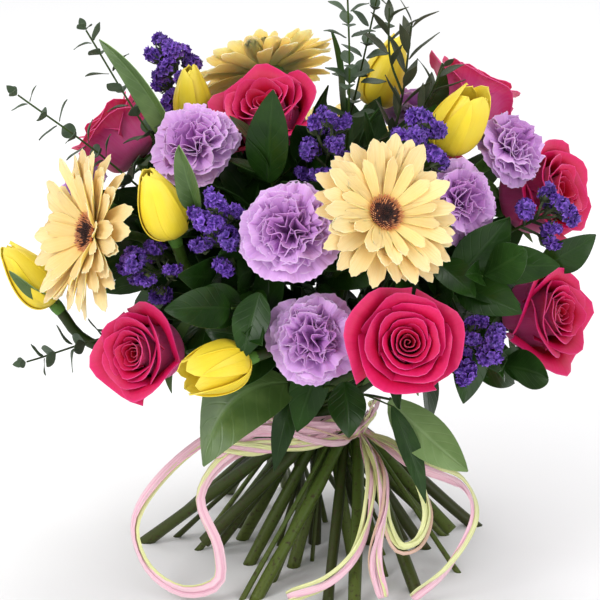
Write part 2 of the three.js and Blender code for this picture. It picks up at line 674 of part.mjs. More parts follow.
neighbours.push(stems, solidOf(band), bow);
for (const { list, kind, colour, make } of greenery) {
  for (const stem of list) {
    const solid = make(stem, kind, neighbours);
    addPiece(stem.name, geometryOf(solid), colour);
    neighbours.push(solid);
  }
}

export default bouquet;
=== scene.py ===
"""A hand-tied mixed bouquet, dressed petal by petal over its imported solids."""

import logging
import math
from collections.abc import Iterator
from dataclasses import dataclass, field
from enum import Enum

import bpy
import numpy as np
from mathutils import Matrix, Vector


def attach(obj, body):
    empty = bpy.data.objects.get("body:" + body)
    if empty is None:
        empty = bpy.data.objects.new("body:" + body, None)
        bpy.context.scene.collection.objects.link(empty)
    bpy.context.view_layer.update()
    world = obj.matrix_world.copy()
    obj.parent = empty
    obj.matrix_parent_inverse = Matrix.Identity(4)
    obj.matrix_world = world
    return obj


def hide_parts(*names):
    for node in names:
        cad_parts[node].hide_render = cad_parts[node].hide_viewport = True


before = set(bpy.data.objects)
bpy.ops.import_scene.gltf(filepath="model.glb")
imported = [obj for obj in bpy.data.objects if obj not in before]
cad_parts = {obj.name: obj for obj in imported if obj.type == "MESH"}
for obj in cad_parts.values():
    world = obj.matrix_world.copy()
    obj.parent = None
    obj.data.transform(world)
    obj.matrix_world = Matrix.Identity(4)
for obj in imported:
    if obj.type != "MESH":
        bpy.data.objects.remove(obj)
log = logging.getLogger("bouquet")

Array = np.ndarray
Random = np.random.Generator
Socket = bpy.types.NodeSocket
Material = bpy.types.Material
Colour = tuple[float, float, float]
Point = tuple[float, float, float]
Row = tuple[float, ...]
Profile = tuple[tuple[float, float], ...]

# Lengths are in millimetres, and angles in degrees unless a comment says radians
MM = 0.001
TIE_HEIGHT = 94.0
BUNDLE_RADIUS = 31.0  # of the stems that the tie presses together
STEM_GAP = 0.4  # between stems at the tie
SPLAY = 112.0  # how far outwards the widest stems run on their way down to their feet
WIDEST_LEAN = 60.0
FOOT_EXTRA = 4.0  # how far below the floor the feet run before they are cut level
STEM_BEND = 34.0  # how far below its bloom a stem starts to bend
INTO_CUP = 2.0  # how far a stem runs into its bloom's green cup
LEAF_THICKNESS = 0.35
BLADE_THICKNESS = 0.5  # of sepals and the tulips' leaves
HEAD_MIDDLE = (0.0, 0.0, 196.0)
KNOT = np.array([30.9, -27.9, 94.0])
SMOOTH_BELOW = 58.0  # the angle between faces that are shaded as one
LEAF_TURN = 137.5  # from one petal or leaf of a spiral to the next
FLORET_TURN = 137.508  # from one floret of an even disc to the next
WHITE = (1.0, 1.0, 1.0)
GLOW_REACH = (0.004, 0.0025, 0.002)  # how far red, green and blue light runs inside a petal, in metres
LINE_PLACES = 89  # along each stem's line
UP = np.array([0.0, 0.0, 1.0])
LEVEL = np.array([1.0, 1.0, 0.0])  # times a direction leaves the level part of it


# Places and curves


def heading(azimuth: float, elevation: float = 0.0) -> Array:
    """The unit direction at an azimuth from the front and an elevation, in degrees.

    Args:
        azimuth: degrees from the front, towards the right.
        elevation: degrees above the horizon.

    Returns:
        The direction as three numbers.
    """
    a, e = math.radians(azimuth), math.radians(elevation)
    return np.array([math.sin(a) * math.cos(e), -math.cos(a) * math.cos(e), math.sin(e)])


def unit(vector: Array) -> Array:
    """The vector, or each row of vectors, at length one."""
    return vector / np.maximum(np.linalg.norm(vector, axis=-1, keepdims=True), 1e-9)


def basis(origin: Array, x: Array, y: Array, z: Array) -> Array:
    """A four by four matrix from an origin and three axes.

    Args:
        origin: where its origin lands.
        x: its X axis.
        y: its Y axis.
        z: its Z axis.

    Returns:
        The matrix.
    """
    matrix = np.eye(4)
    matrix[:3, 0], matrix[:3, 1], matrix[:3, 2], matrix[:3, 3] = x, y, z, origin
    return matrix


def placed(matrix: Array, vertices: Array) -> Array:
    """The vertices moved by a matrix."""
    return vertices @ matrix[:3, :3].T + matrix[:3, 3]


def laid(at: Array, along: Array, side: Array) -> Array:
    """The matrix of a place whose X axis points along and whose Y axis points to a side."""
    return basis(at, along, side, np.cross(along, side))


def turned(angle: float) -> Array:
    """A matrix that turns about the Z axis by an angle in radians."""
    x, y = math.cos(angle), math.sin(angle)
    return basis(np.zeros(3), np.array([x, y, 0.0]), np.array([-y, x, 0.0]), UP)


def between(row: Row, share: float) -> float:
    """The value at a share of the way along an even row of values."""
    return float(np.interp(share, np.linspace(0, 1, len(row)), row))


def any_phase(rng: Random) -> float:
    """A random place round a full turn, in radians."""
    return rng.uniform(0, 6.3)


def polar(radius: Array, angle: Array, level: Array) -> Array:
    """The places at radii from the Z axis, angles about it in radians, and heights."""
    return np.column_stack([radius * np.cos(angle), radius * np.sin(angle), level])


def eased(values: Array) -> Array:
    """A smooth step from 0 to 1 over the values from 0 to 1."""
    t = np.clip(values, 0.0, 1.0)
    return t * t * (3.0 - 2.0 * t)


def bezier(points: list[tuple[float, float]], t: Array) -> tuple[Array, Array]:
    """A plane cubic curve.

    Args:
        points: four control points as (radius, height).
        t: shares along the curve.

    Returns:
        The points and the unit tangents at those shares.
    """
    p = np.array(points, float)
    t = np.asarray(t)[..., None]
    s = 1.0 - t
    here = s**3 * p[0] + 3 * s * s * t * p[1] + 3 * s * t * t * p[2] + t**3 * p[3]
    slope = 3 * s * s * (p[1] - p[0]) + 6 * s * t * (p[2] - p[1]) + 3 * t * t * (p[3] - p[2])
    return here, unit(slope)


def smooth_path(points: list, count: int) -> Array:
    """A centripetal spline through points, at even distances along it.

    Args:
        points: the places that the line passes through.
        count: how many places to return.

    Returns:
        The places, one a row.
    """
    p = np.array(points, float)
    p = np.vstack([2 * p[0] - p[1], p, 2 * p[-1] - p[-2]])
    fine = []
    for i in range(1, len(p) - 2):
        d = [max(np.linalg.norm(p[i + k] - p[i + k - 1]) ** 0.5, 1e-4) for k in (0, 1, 2)]
        m1 = (p[i] - p[i - 1]) / d[0] - (p[i + 1] - p[i - 1]) / (d[0] + d[1]) + (p[i + 1] - p[i]) / d[1]
        m2 = (p[i + 1] - p[i]) / d[1] - (p[i + 2] - p[i]) / (d[1] + d[2]) + (p[i + 2] - p[i + 1]) / d[2]
        m1, m2 = m1 * d[1], m2 * d[1]
        t = np.linspace(0, 1, 41)[:-1, None]
        a = 2 * p[i] - 2 * p[i + 1] + m1 + m2
        b = -3 * p[i] + 3 * p[i + 1] - 2 * m1 - m2
        fine.append(a * t**3 + b * t**2 + m1 * t + p[i])
    line = np.vstack([*fine, p[-2]])
    travelled = distances(line)
    wanted = np.linspace(0, travelled[-1], count)
    return np.stack([np.interp(wanted, travelled, line[:, k]) for k in range(3)], axis=1)


def distances(path: Array) -> Array:
    """How far along a line each of its places is."""
    return np.concatenate([[0], np.cumsum(np.linalg.norm(np.diff(path, axis=0), axis=1))])


def path_length(path: Array) -> float:
    """The length of a line through places."""
    return float(np.linalg.norm(np.diff(path, axis=0), axis=1).sum())


def path_frames(path: Array) -> tuple[Array, Array, Array]:
    """Tangents and two side directions that turn as little as they can along a path.

    Args:
        path: the places along a line.

    Returns:
        The tangents, the first sides and the second sides, one a row each.
    """
    tangents = unit(np.gradient(path, axis=0))
    start = UP if abs(tangents[0][2]) < 0.9 else np.array([0.0, 1.0, 0.0])
    side = unit(np.cross(tangents[0], start))
    sides = [side]
    for tangent in tangents[1:]:
        side = unit(side - tangent * np.dot(side, tangent))
        sides.append(side)
    first = np.array(sides)
    return tangents, first, np.cross(tangents, first)


# Shapes


@dataclass
class Shape:
    """A mesh in numbers, with the marks that its finish reads at each corner."""

    vertices: Array
    faces: Array
    marks: dict[str, Array] = field(default_factory=dict)

    def moved(self, matrix: Array) -> "Shape":
        """A copy moved by a matrix."""
        return Shape(placed(matrix, self.vertices), self.faces, self.marks)


@dataclass
class Blank:
    """A flat sheet of squares, from which each petal and leaf is shaped.

    u runs from -1 to 1 across it and v from 0 at its root to 1 at its tip.
    """

    across: int
    along: int
    u: Array = field(init=False)
    v: Array = field(init=False)
    faces: Array = field(init=False)

    def __post_init__(self) -> None:
        """Takes the sheet from a grid primitive."""
        bpy.ops.object.select_all(action="DESELECT")
        bpy.ops.mesh.primitive_grid_add(x_subdivisions=self.across, y_subdivisions=self.along, size=2)
        sheet = bpy.context.active_object
        corners = np.array([vertex.co for vertex in sheet.data.vertices])
        self.u, self.v = corners[:, 0].copy(), (corners[:, 1] + 1) / 2
        self.faces = np.array([list(face.vertices) for face in sheet.data.polygons])
        bpy.data.objects.remove(sheet)

    def shape(self, vertices: Array, **marks: float) -> Shape:
        """A shape on this sheet's squares.

        Args:
            vertices: its corners.
            marks: values for the finish, besides its own u and v.

        Returns:
            The shape.
        """
        count = len(self.u)
        given = {key: np.full(count, value) for key, value in marks.items()}
        return Shape(vertices, self.faces, {"along": self.v, "across": self.u} | given)


def lathe(profile: Profile, sides: int, **marks: float) -> Shape:
    """A form turned about the Z axis, open at both ends.

    Args:
        profile: (radius, height) pairs, from one end to the other.
        sides: how many sides it has.
        marks: values for the finish.

    Returns:
        The shape.
    """
    rings = [polar(max(radius, 1e-4), around(sides), np.full(sides, height)) for radius, height in profile]
    return Shape(np.concatenate(rings), ring_faces(len(rings), sides), ring_marks(len(rings), sides, marks))


def around(sides: int) -> Array:
    """The angles of a ring's corners, in radians."""
    return np.arange(sides) * math.tau / sides


def ring_faces(rows: int, sides: int) -> Array:
    """The quads between rings of corners that follow one another.

    Args:
        rows: how many rings there are.
        sides: how many corners each has.

    Returns:
        The quads, one a row.
    """
    i, j = np.meshgrid(np.arange(rows - 1), np.arange(sides), indexing="ij")
    a, b = i * sides + j, i * sides + (j + 1) % sides
    return np.stack([a, b, b + sides, a + sides], axis=-1).reshape(-1, 4)


def ring_marks(rows: int, sides: int, marks: dict[str, float]) -> dict[str, Array]:
    """The marks of a form made of rings, which run along it.

    Args:
        rows: how many rings there are.
        sides: how many corners each has.
        marks: other values, the same at every corner.

    Returns:
        The values at each corner by mark.
    """
    along = np.repeat(np.linspace(0, 1, rows), sides)
    own = {"along": along, "across": np.zeros(rows * sides)}
    return own | {key: np.full(rows * sides, value) for key, value in marks.items()}


def tube(path: Array, radii: Array, sides: int, **marks: float) -> Shape:
    """A round stem along a path.

    Args:
        path: places along its middle.
        radii: its radius at each of them.
        sides: how many sides it has.
        marks: values for the finish.

    Returns:
        The shape, closed at both ends by a ring of almost no radius.
    """
    path = np.vstack([path[0], path, path[-1]])
    radii = np.concatenate([[1e-3], radii, [1e-3]])
    _, first, second = path_frames(path[1:-1])
    first = np.vstack([first[0], first, first[-1]])
    second = np.vstack([second[0], second, second[-1]])
    angles = around(sides)[None, :, None]
    ring = np.cos(angles) * first[:, None, :] + np.sin(angles) * second[:, None, :]
    vertices = (path[:, None, :] + ring * radii[:, None, None]).reshape(-1, 3)
    return Shape(vertices, ring_faces(len(path), sides), ring_marks(len(path), sides, marks))


@dataclass
class Pile:
    """Shapes gathered into one piece."""

    name: str
    shapes: list[tuple[Shape, int]] = field(default_factory=list)

    def add(self, shape: Shape, finish: int = 0) -> None:
        """Adds a shape, in the finish of that number."""
        self.shapes.append((shape, finish))

    def build(self, materials: list[Material], thickness: float = 0.0) -> bpy.types.Object:
        """Makes the piece.

        Args:
            materials: its finishes in order. With a thickness, the second is the other face's.
            thickness: of its sheets in millimetres, or 0 for closed forms.

        Returns:
            The object, at the origin.
        """
        offsets = np.cumsum([0] + [len(shape.vertices) for shape, _ in self.shapes])
        vertices = np.concatenate([shape.vertices for shape, _ in self.shapes]) * MM
        faces = np.concatenate([shape.faces + start for (shape, _), start in zip(self.shapes, offsets)])
        numbers = np.concatenate([np.full(len(shape.faces), number) for shape, number in self.shapes])
        mesh = bpy.data.meshes.new(self.name)
        mesh.from_pydata(vertices.tolist(), [], faces.tolist())
        mesh.polygons.foreach_set("material_index", numbers.astype(np.int32))
        for key in ("along", "across", "layer", "chance"):
            values = [shape.marks.get(key, np.zeros(len(shape.vertices))) for shape, _ in self.shapes]
            mesh.attributes.new(key, "FLOAT", "POINT").data.foreach_set("value", np.concatenate(values))
        for material in materials:
            mesh.materials.append(material)
        piece = bpy.data.objects.new(self.name, mesh)
        bpy.context.scene.collection.objects.link(piece)
        bpy.ops.object.select_all(action="DESELECT")
        piece.select_set(True)
        bpy.context.view_layer.objects.active = piece
        if thickness:
            thickened(piece, thickness, two_faced=True)
        bpy.ops.object.shade_smooth_by_angle(angle=math.radians(SMOOTH_BELOW))
        log.info("%s: %d faces", self.name, len(piece.data.polygons))
        return piece


def thickened(piece: bpy.types.Object, thickness: float, two_faced: bool = False) -> None:
    """Gives the active piece's sheets their thickness.

    Args:
        piece: the piece.
        thickness: in millimetres.
        two_faced: whether their faces take the next finish.
    """
    bpy.ops.object.modifier_add(type="SOLIDIFY")
    solid = piece.modifiers[-1]
    solid.thickness = thickness * MM
    solid.offset = 0.0
    solid.material_offset = int(two_faced)
    bpy.ops.object.modifier_apply(modifier=solid.name)


def seated(piece: bpy.types.Object, slot: str, *nodes: str) -> bpy.types.Object:
    """Makes a finished piece ride with the bouquet and stand for the given solids.

    Args:
        piece: the piece.
        slot: not used.
        nodes: the solids that it stands for.

    Returns:
        The piece.
    """
    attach(piece, "root")
    if nodes:
        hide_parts(*nodes)
    return piece


# Finishes


class Shader:
    """A material that is wired up step by step."""

    def __init__(self, name: str, roughness: float) -> None:
        """Starts a material with a plain surface.

        Args:
            name: the material's name.
            roughness: of its surface.
        """
        self.material = bpy.data.materials.new(name)
        self.material.use_nodes = True
        self.tree = self.material.node_tree
        self.surface = self.tree.nodes["Principled BSDF"]
        self.surface.inputs["Roughness"].default_value = roughness

    def step(self, kind: str, inputs: dict, **settings: object) -> bpy.types.Node:
        """Adds a node.

        Args:
            kind: the node's type.
            inputs: a value or a socket for each named or numbered input.
            settings: the node's own properties.

        Returns:
            The node.
        """
        node = self.tree.nodes.new(kind)
        for key, value in settings.items():
            setattr(node, key, value)
        for key, value in inputs.items():
            if isinstance(value, Socket):
                self.tree.links.new(value, node.inputs[key])
            else:
                node.inputs[key].default_value = value
        return node

    def mark(self, name: str) -> Socket:
        """A mark that was laid on the mesh."""
        return self.step("ShaderNodeAttribute", {}, attribute_name=name).outputs["Fac"]

    def sums(self, operation: str, first: object, second: object = 0.0) -> Socket:
        """The result of a sum on two values."""
        return self.step("ShaderNodeMath", {0: first, 1: second}, operation=operation).outputs[0]

    def noise(self, place: Socket, scale: float, detail: float = 3.0) -> Socket:
        """Soft noise at a place."""
        inputs = {"Vector": place, "Scale": scale, "Detail": detail}
        return self.step("ShaderNodeTexNoise", inputs).outputs["Fac"]

    def place(self) -> Socket:
        """The place on the object."""
        return self.step("ShaderNodeTexCoord", {}).outputs["Object"]

    def streaks(self, across: float, along: float) -> Socket:
        """A place that runs along each petal or leaf, for veins and fibres.

        Args:
            across: how often the pattern changes across it.
            along: how often it changes along it.

        Returns:
            The place.
        """
        wide = self.sums("MULTIPLY", self.mark("across"), across)
        long = self.sums("MULTIPLY", self.mark("along"), along)
        own = self.sums("MULTIPLY", self.mark("chance"), 40.0)
        return self.step("ShaderNodeCombineXYZ", {0: wide, 1: long, 2: own}).outputs[0]

    def ramp(self, factor: Socket, stops: list[tuple[float, Colour]]) -> Socket:
        """A colour that changes with a factor.

        Args:
            factor: from 0 to 1.
            stops: the places of the colours, and the colours.

        Returns:
            The colour.
        """
        node = self.step("ShaderNodeValToRGB", {0: factor})
        steps = node.color_ramp.elements
        while len(steps) < len(stops):
            steps.new(0.5)
        for element, (position, colour) in zip(steps, stops):
            element.position = position
            element.color = (*colour, 1.0)
        return node.outputs["Color"]

    def grey(self, factor: Socket, low: float, high: float) -> Socket:
        """A factor stretched so that low becomes 0 and high becomes 1."""
        inputs = {"Value": factor, "From Min": low, "From Max": high}
        return self.step("ShaderNodeMapRange", inputs).outputs[0]

    def blend(self, factor: object, first: object, second: object, kind: str = "MIX") -> Socket:
        """Two colours mixed by a factor.

        Args:
            factor: a share or a socket.
            first: the colour at 0.
            second: the colour at 1.
            kind: how they mix.

        Returns:
            The colour.
        """
        node = self.step("ShaderNodeMixRGB", {"Fac": factor}, blend_type=kind)
        for key, value in (("Color1", first), ("Color2", second)):
            if isinstance(value, Socket):
                self.tree.links.new(value, node.inputs[key])
            else:
                node.inputs[key].default_value = (*value, 1.0)
        return node.outputs["Color"]

    def finish(self, colour: Socket, height: Socket, strength: float, depth: float) -> None:
        """Joins the colour and the relief to the surface.

        Args:
            colour: the base colour.
            height: the relief.
            strength: of the relief, from 0 to 1.
            depth: of the relief in millimetres.
        """
        self.tree.links.new(colour, self.surface.inputs["Base Color"])
        bump = self.step("ShaderNodeBump", {"Height": height, "Strength": strength, "Distance": depth * MM})
        self.tree.links.new(bump.outputs["Normal"], self.surface.inputs["Normal"])

    def varied(self, colour: Socket, darkest: Colour) -> Socket:
        """A colour that is darker on some petals, leaves or cups than on others."""
        own = self.ramp(self.mark("chance"), [(0.0, darkest), (1.0, WHITE)])
        return self.blend(1.0, colour, own, "MULTIPLY")

    def polish(self, values: dict[str, object]) -> None:
        """Sets values on the surface's sockets, by their names."""
        for name, value in values.items():
            self.surface.inputs[name].default_value = value


@dataclass(frozen=True)
class PetalFinish:
    """The colours of a petal from its root to its rim, and of the flower's heart. A dark root, as on the
    roses' faces and the carnations, is painted shade between the petals, and the heart's deeper colour on
    the inner petals is partly painted shade deep in the flower.
    """

    name: str
    # the petal's base colour; where it is dark, as on the roses' faces and the carnations, it is painted
    # shade between the petals
    root: Colour
    body: Colour
    rim: Colour
    # the inner petals' deeper colour, partly their own and partly painted shade deep in the flower
    heart: Colour
    heart_reach: float = 0.35
    rim_start: float = 0.8
    roughness: float = 0.5
    sheen: float = 0.15
    veins: float = 0.18
    glow: float = 0.12
    # The thin lighter line at the very rim: a painted highlight along the roses' lips, and partly the
    # carnations' own paler edge.
    edge_and_highlight: Colour | None = None

    def material(self) -> Material:
        """Makes the material.

        Returns:
            The material, wired up.
        """
        shader = Shader(self.name, self.roughness)
        along = shader.mark("along")
        stops = [(0.0, self.root), (0.35, self.body), (self.rim_start, self.body)]
        # The last stop is the thin lighter line at the very rim, a painted highlight on the rose petals'
        # lips.
        stops += [(0.975, self.rim), (1.0, self.edge_and_highlight or self.rim)]
        colour = shader.ramp(along, stops)
        # the inner petals turn towards the heart colour: partly their own deeper tone, partly painted shade
        inner = shader.grey(shader.mark("layer"), self.heart_reach, 0.0)
        colour = shader.blend(inner, colour, self.heart)
        fibres = shader.noise(shader.streaks(7.0, 0.7), 3.0, 4.0)
        lined = shader.grey(fibres, 0.35, 0.75)
        colour = shader.blend(lined, colour, shader.blend(self.veins, colour, self.root))
        blotch = shader.noise(shader.place(), 90.0, 2.0)
        spotted = shader.sums("MULTIPLY", shader.grey(blotch, 0.4, 0.7), 0.12)
        colour = shader.blend(spotted, colour, self.heart)
        shader.finish(shader.varied(colour, (0.82, 0.82, 0.84)), fibres, 0.35, 0.5)
        shader.polish({"Subsurface Weight": self.glow, "Subsurface Radius": GLOW_REACH})
        shader.polish({"Subsurface Scale": 1.0, "Specular IOR Level": 0.35})
        shader.polish({"Sheen Weight": self.sheen, "Sheen Roughness": 0.4})
        return shader.material


@dataclass(frozen=True)
class LeafFinish:
    """The colours of a leaf, of its ribs and of its patches."""

    name: str
    body: Colour
    patch: Colour
    rib: Colour
    roughness: float = 0.4
    ribs: float = 0.5
    side_veins: float = 9.0
    gloss: float = 0.22

    def material(self) -> Material:
        """Makes the material.

        Returns:
            The material, wired up.
        """
        shader = Shader(self.name, self.roughness)
        patches = shader.noise(shader.place(), 55.0, 3.0)
        colour = shader.blend(shader.grey(patches, 0.38, 0.66), self.body, self.patch)
        middle = shader.grey(shader.sums("ABSOLUTE", shader.mark("across")), 0.1, 0.03)
        rise = shader.sums("MULTIPLY", shader.mark("along"), self.side_veins)
        slant = shader.sums("MULTIPLY", shader.sums("ABSOLUTE", shader.mark("across")), -2.0)
        wave = shader.sums("SINE", shader.sums("MULTIPLY", shader.sums("ADD", rise, slant), 6.283))
        vein = shader.grey(wave, 0.82, 1.0)
        lines = shader.sums("MAXIMUM", middle, shader.sums("MULTIPLY", vein, 0.35))
        colour = shader.blend(shader.sums("MULTIPLY", lines, self.ribs), colour, self.rib)
        colour = shader.varied(colour, (0.62, 0.66, 0.6))
        shader.finish(colour, shader.sums("SUBTRACT", patches, lines), 0.4, 0.6)
        shader.polish({"Specular IOR Level": self.gloss})
        return shader.material


@dataclass(frozen=True)
class StemFinish:
    """A stem that goes from one colour at its foot to another in the head."""

    name: str
    low: Colour
    high: Colour
    fleck: Colour
    roughness: float = 0.45

    def material(self) -> Material:
        """Makes the material.

        Returns:
            The material, wired up.
        """
        shader = Shader(self.name, self.roughness)
        place = shader.place()
        height = shader.step("ShaderNodeSeparateXYZ", {0: place}).outputs["Z"]
        colour = shader.ramp(shader.grey(height, 0.0, 0.16), [(0.0, self.low), (0.6, self.high)])
        tones = [(0.0, (0.45, 0.42, 0.38)), (0.5, (0.9, 0.95, 0.8)), (1.0, (1.2, 1.3, 0.9))]
        own = shader.ramp(shader.mark("chance"), tones)
        colour = shader.blend(1.0, colour, own, "MULTIPLY")
        flecks = shader.noise(place, 420.0, 3.0)
        colour = shader.blend(shader.grey(flecks, 0.55, 0.72), colour, self.fleck)
        grooves = shader.noise(shader.streaks(1.0, 1.0), 30.0, 2.0)
        shader.finish(colour, shader.sums("ADD", flecks, grooves), 0.3, 0.4)
        shader.polish({"Specular IOR Level": 0.25})
        return shader.material


@dataclass(frozen=True)
class MattFinish:
    """A small part's colour that darkens in patches."""

    name: str
    light: Colour
    dark: Colour
    roughness: float = 0.7
    grain: float = 300.0

    def material(self) -> Material:
        """Makes the material.

        Returns:
            The material, wired up.
        """
        shader = Shader(self.name, self.roughness)
        speckle = shader.noise(shader.place(), self.grain, 2.0)
        # lighter towards each part's tip and darker at its root; on the statice cups these marks carry
        # painted light and shade
        tips = shader.blend(shader.grey(shader.mark("along"), 0.1, 0.9), self.dark, self.light)
        colour = shader.blend(shader.grey(speckle, 0.62, 0.4), tips, self.dark)
        shader.finish(shader.varied(colour, (0.6, 0.6, 0.65)), speckle, 0.3, 0.3)
        return shader.material


@dataclass(frozen=True)
class RaffiaFinish:
    """Raffia with fine fibres between two tones, and pale glints."""

    name: str
    first: Colour
    second: Colour

    def material(self) -> Material:
        """Makes the material.

        Returns:
            The material, wired up.
        """
        shader = Shader(self.name, 0.42)
        fibres = shader.noise(shader.streaks(9.0, 0.6), 2.6, 5.0)
        broad = shader.noise(shader.streaks(2.0, 2.2), 1.4, 2.0)
        colour = shader.blend(shader.grey(broad, 0.38, 0.62), self.first, self.second)
        glints = shader.grey(fibres, 0.42, 0.72)
        colour = shader.blend(glints, colour, shader.blend(0.5, colour, (1.0, 0.97, 0.9)))
        shader.finish(colour, fibres, 0.7, 0.5)
        shader.polish({"Sheen Weight": 0.15})
        return shader.material


def materials_of(finishes: tuple) -> list[Material]:
    """A material for each finish. A single finish serves for both faces."""
    made = [finish.material() for finish in finishes]
    return made if len(made) > 1 else made * 2


# The flowers and greenery, with the places that their solids have


@dataclass
class Stalk:
    """One stem, and how it passes the tie.

    The thickness is a radius, and a shorter stem ends that far above the floor.
    """

    name: str
    thickness: float
    target: Array
    central: bool = False
    shorter: float = 0.0
    outwards: float = 0.0
    lean: float = 0.0
    waist: Array = field(default_factory=lambda: np.zeros(3))

    def __post_init__(self) -> None:
        """Works out the way that it leans."""
        reach = self.target - np.array([0, 0, TIE_HEIGHT])
        self.outwards = math.degrees(math.atan2(reach[0], -reach[1]))
        self.lean = 0.0 if self.central else math.degrees(math.acos(reach[2] / np.linalg.norm(reach)))

    def start(self) -> list[Array]:
        """Where it begins.

        Returns:
            The two places, its foot first.
        """
        share = min(self.lean / WIDEST_LEAN, 1.0)
        foot = self.waist - heading(self.outwards) * SPLAY * share
        foot[2] = 0.0
        rise = self.shorter / TIE_HEIGHT if self.shorter > 0 else -FOOT_EXTRA / TIE_HEIGHT
        return [foot + (self.waist - foot) * rise, self.waist]


@dataclass
class Bloom:
    """One flower: the middle of its open face, where it faces, and its size.

    The stem of a shorter one ends that far above the floor, and a central one's keeps its place at the tie.
    """

    name: str
    at: Point
    azimuth: float
    elevation: float
    size: float = 1.0
    shorter: float = 0.0
    central: bool = False
    openness: float = 0.0

    def axis(self) -> Array:
        """The way it faces."""
        return heading(self.azimuth, self.elevation)

    def base(self, height: float) -> Array:
        """The top of its green cup."""
        return np.array(self.at) - self.axis() * height * self.size

    def seat(self, height: float, index: int) -> Array:
        """The matrix that sets a flower, made along Z on the origin, in its place.

        Args:
            height: of the flower above its cup.
            index: its number among its kind, which turns it.

        Returns:
            The matrix.
        """
        level = heading(self.azimuth + 90)
        matrix = basis(self.base(height), level, np.cross(self.axis(), level), self.axis()) @ turned(index)
        matrix[:3, :3] *= self.size
        return matrix


@dataclass
class Spray:
    """One leafy or flowering stem: the places from inside the head to its tip.

    Leafy is the length of the stretch below the tip that bears leaves.
    """

    name: str
    path: list[Point]
    leafy: float = 0.0
    shoots: int = 0
    size: float = 1.0


ROSES = [
    Bloom("rose_front", (56, -165, 200), 5, 24, size=1.05),
    Bloom("rose_front_left", (-116, -108, 173), -38, 12, size=0.95, shorter=18),
    Bloom("rose_right", (161, -42, 178), 52, 14, size=1.06),
    Bloom("rose_top", (-34, -6, 311), -30, 60, size=1.12, central=True),
    Bloom("rose_top_left", (-140, 50, 284), -110, 42),
    Bloom("rose_top_right", (110, 52, 312), 120, 55),
    Bloom("rose_far_right", (165, 12, 246), 60, 20, size=1.15, shorter=12),
    Bloom("rose_back_right", (98, 124, 218), 142, 20),
    Bloom("rose_back_left", (-72, 150, 205), -155, 14),
]
CARNATIONS = [
    Bloom("carnation_middle", (-18, -142, 267), -8, 30, size=1.03),
    Bloom("carnation_front", (-2, -146, 195), -3, 18, size=0.98),
    Bloom("carnation_upper_left", (-84, -50, 302), -35, 48),
    Bloom("carnation_right", (99, -70, 266), 38, 30, size=0.92, shorter=22),
    Bloom("carnation_upper_right", (136, -20, 290), 62, 38, size=0.88),
    Bloom("carnation_far_left", (-165, 8, 248), -85, 26, size=0.78),
    Bloom("carnation_back_right", (84, 110, 281), 142, 45),
    Bloom("carnation_back_left", (-104, 104, 260), -132, 34, shorter=15),
]
GERBERAS = [
    Bloom("gerbera_middle", (43, -141, 275), 32, 34),
    Bloom("gerbera_left", (-148, -60, 238), -62, 14, size=1.1),
    Bloom("gerbera_top", (-34, 64, 315), -157, 50),
    Bloom("gerbera_back", (20, 156, 225), 172, 22),
]
TULIPS = [
    Bloom("tulip_upper_left", (-82, 20, 327), -20, 78, size=0.88),
    Bloom("tulip_left", (-104, -97, 289), -45, 66),
    Bloom("tulip_far_left", (-203, -10, 214), -88, 52),
    Bloom("tulip_front", (-82, -150, 170), -60, -7, size=0.9, openness=0.5),
    Bloom("tulip_upper_right", (104, -38, 326), 62, 58, openness=0.3),
    Bloom("tulip_top", (57, 84, 331), 110, 66),
    Bloom("tulip_back", (4, 190, 170), 180, 8),
    Bloom("tulip_back_left", (-172, 86, 214), -116, 22, shorter=16),
]
EUCALYPTUS = [
    Spray("eucalyptus_left", [(-70, -4, 205), (-134, -2, 268), (-192, 0, 312)], 110),
    Spray("eucalyptus_upper_left", [(-60, 4, 220), (-108, -8, 290), (-148, 12, 352)], 100),
    Spray("eucalyptus_top", [(18, 12, 230), (22, 8, 320), (20, 2, 388)], 95),
    Spray("eucalyptus_top_back", [(10, 40, 230), (26, 40, 300), (40, 28, 370)], 80),
    Spray("eucalyptus_low_left", [(-60, -30, 150), (-120, -46, 165), (-186, -58, 150)], 100),
]
WILLOWS = [Spray("willow_top", [(30, -2, 220), (54, 0, 300), (62, 8, 358)], 90, shoots=2)]
RUSCUS = [
    Spray("ruscus_top", [(-16, -36, 200), (-28, -48, 268)], 60),
    Spray("ruscus_front", [(-18, -74, 170), (-38, -104, 200), (-52, -124, 208)], 90),
    Spray("ruscus_right", [(46, -40, 170), (104, -90, 218)], 90),
    Spray("ruscus_far_right", [(50, -18, 140), (118, -64, 150)], 80),
    Spray("ruscus_low", [(-4, -42, 116), (6, -78, 140), (16, -102, 148)]),
    Spray("ruscus_back", [(-30, 60, 180), (-40, 118, 256)], 90),
    Spray("ruscus_back_right", [(40, 50, 140), (62, 128, 156)], 90),
    Spray("ruscus_back_left", [(-40, 34, 130), (-84, 96, 158)], 90),
]
BROAD = [
    Spray("broad_leaf_left", [(4, -42, 122), (1, -62, 138), (-14, -79, 143)]),
    Spray("broad_leaf_right", [(20, -40, 118), (32, -62, 129), (48, -71, 129)]),
]
STATICE = [
    Spray("statice_upper_left", [(-50, 40, 230), (-96, 66, 318)], size=0.9),
    Spray("statice_top_middle", [(2, -40, 200), (8, -66, 300)], size=1.1),
    Spray("statice_top_right", [(44, -40, 200), (64, -64, 302)], size=1),
    Spray("statice_left", [(-40, -64, 184), (-60, -112, 262)], size=1),
    Spray("statice_far_left", [(-60, -36, 190), (-106, -84, 222)], size=0.75),
    Spray("statice_low_right", [(60, -60, 150), (104, -108, 180)], size=1),
    Spray("statice_right", [(90, -10, 200), (149, -38, 244)], size=0.6),
]
SPRAYS = [(2.0, STATICE), (1.3, EUCALYPTUS), (1.5, WILLOWS), (1.8, RUSCUS), (1.8, BROAD)]  # with stem radii


# Leaves


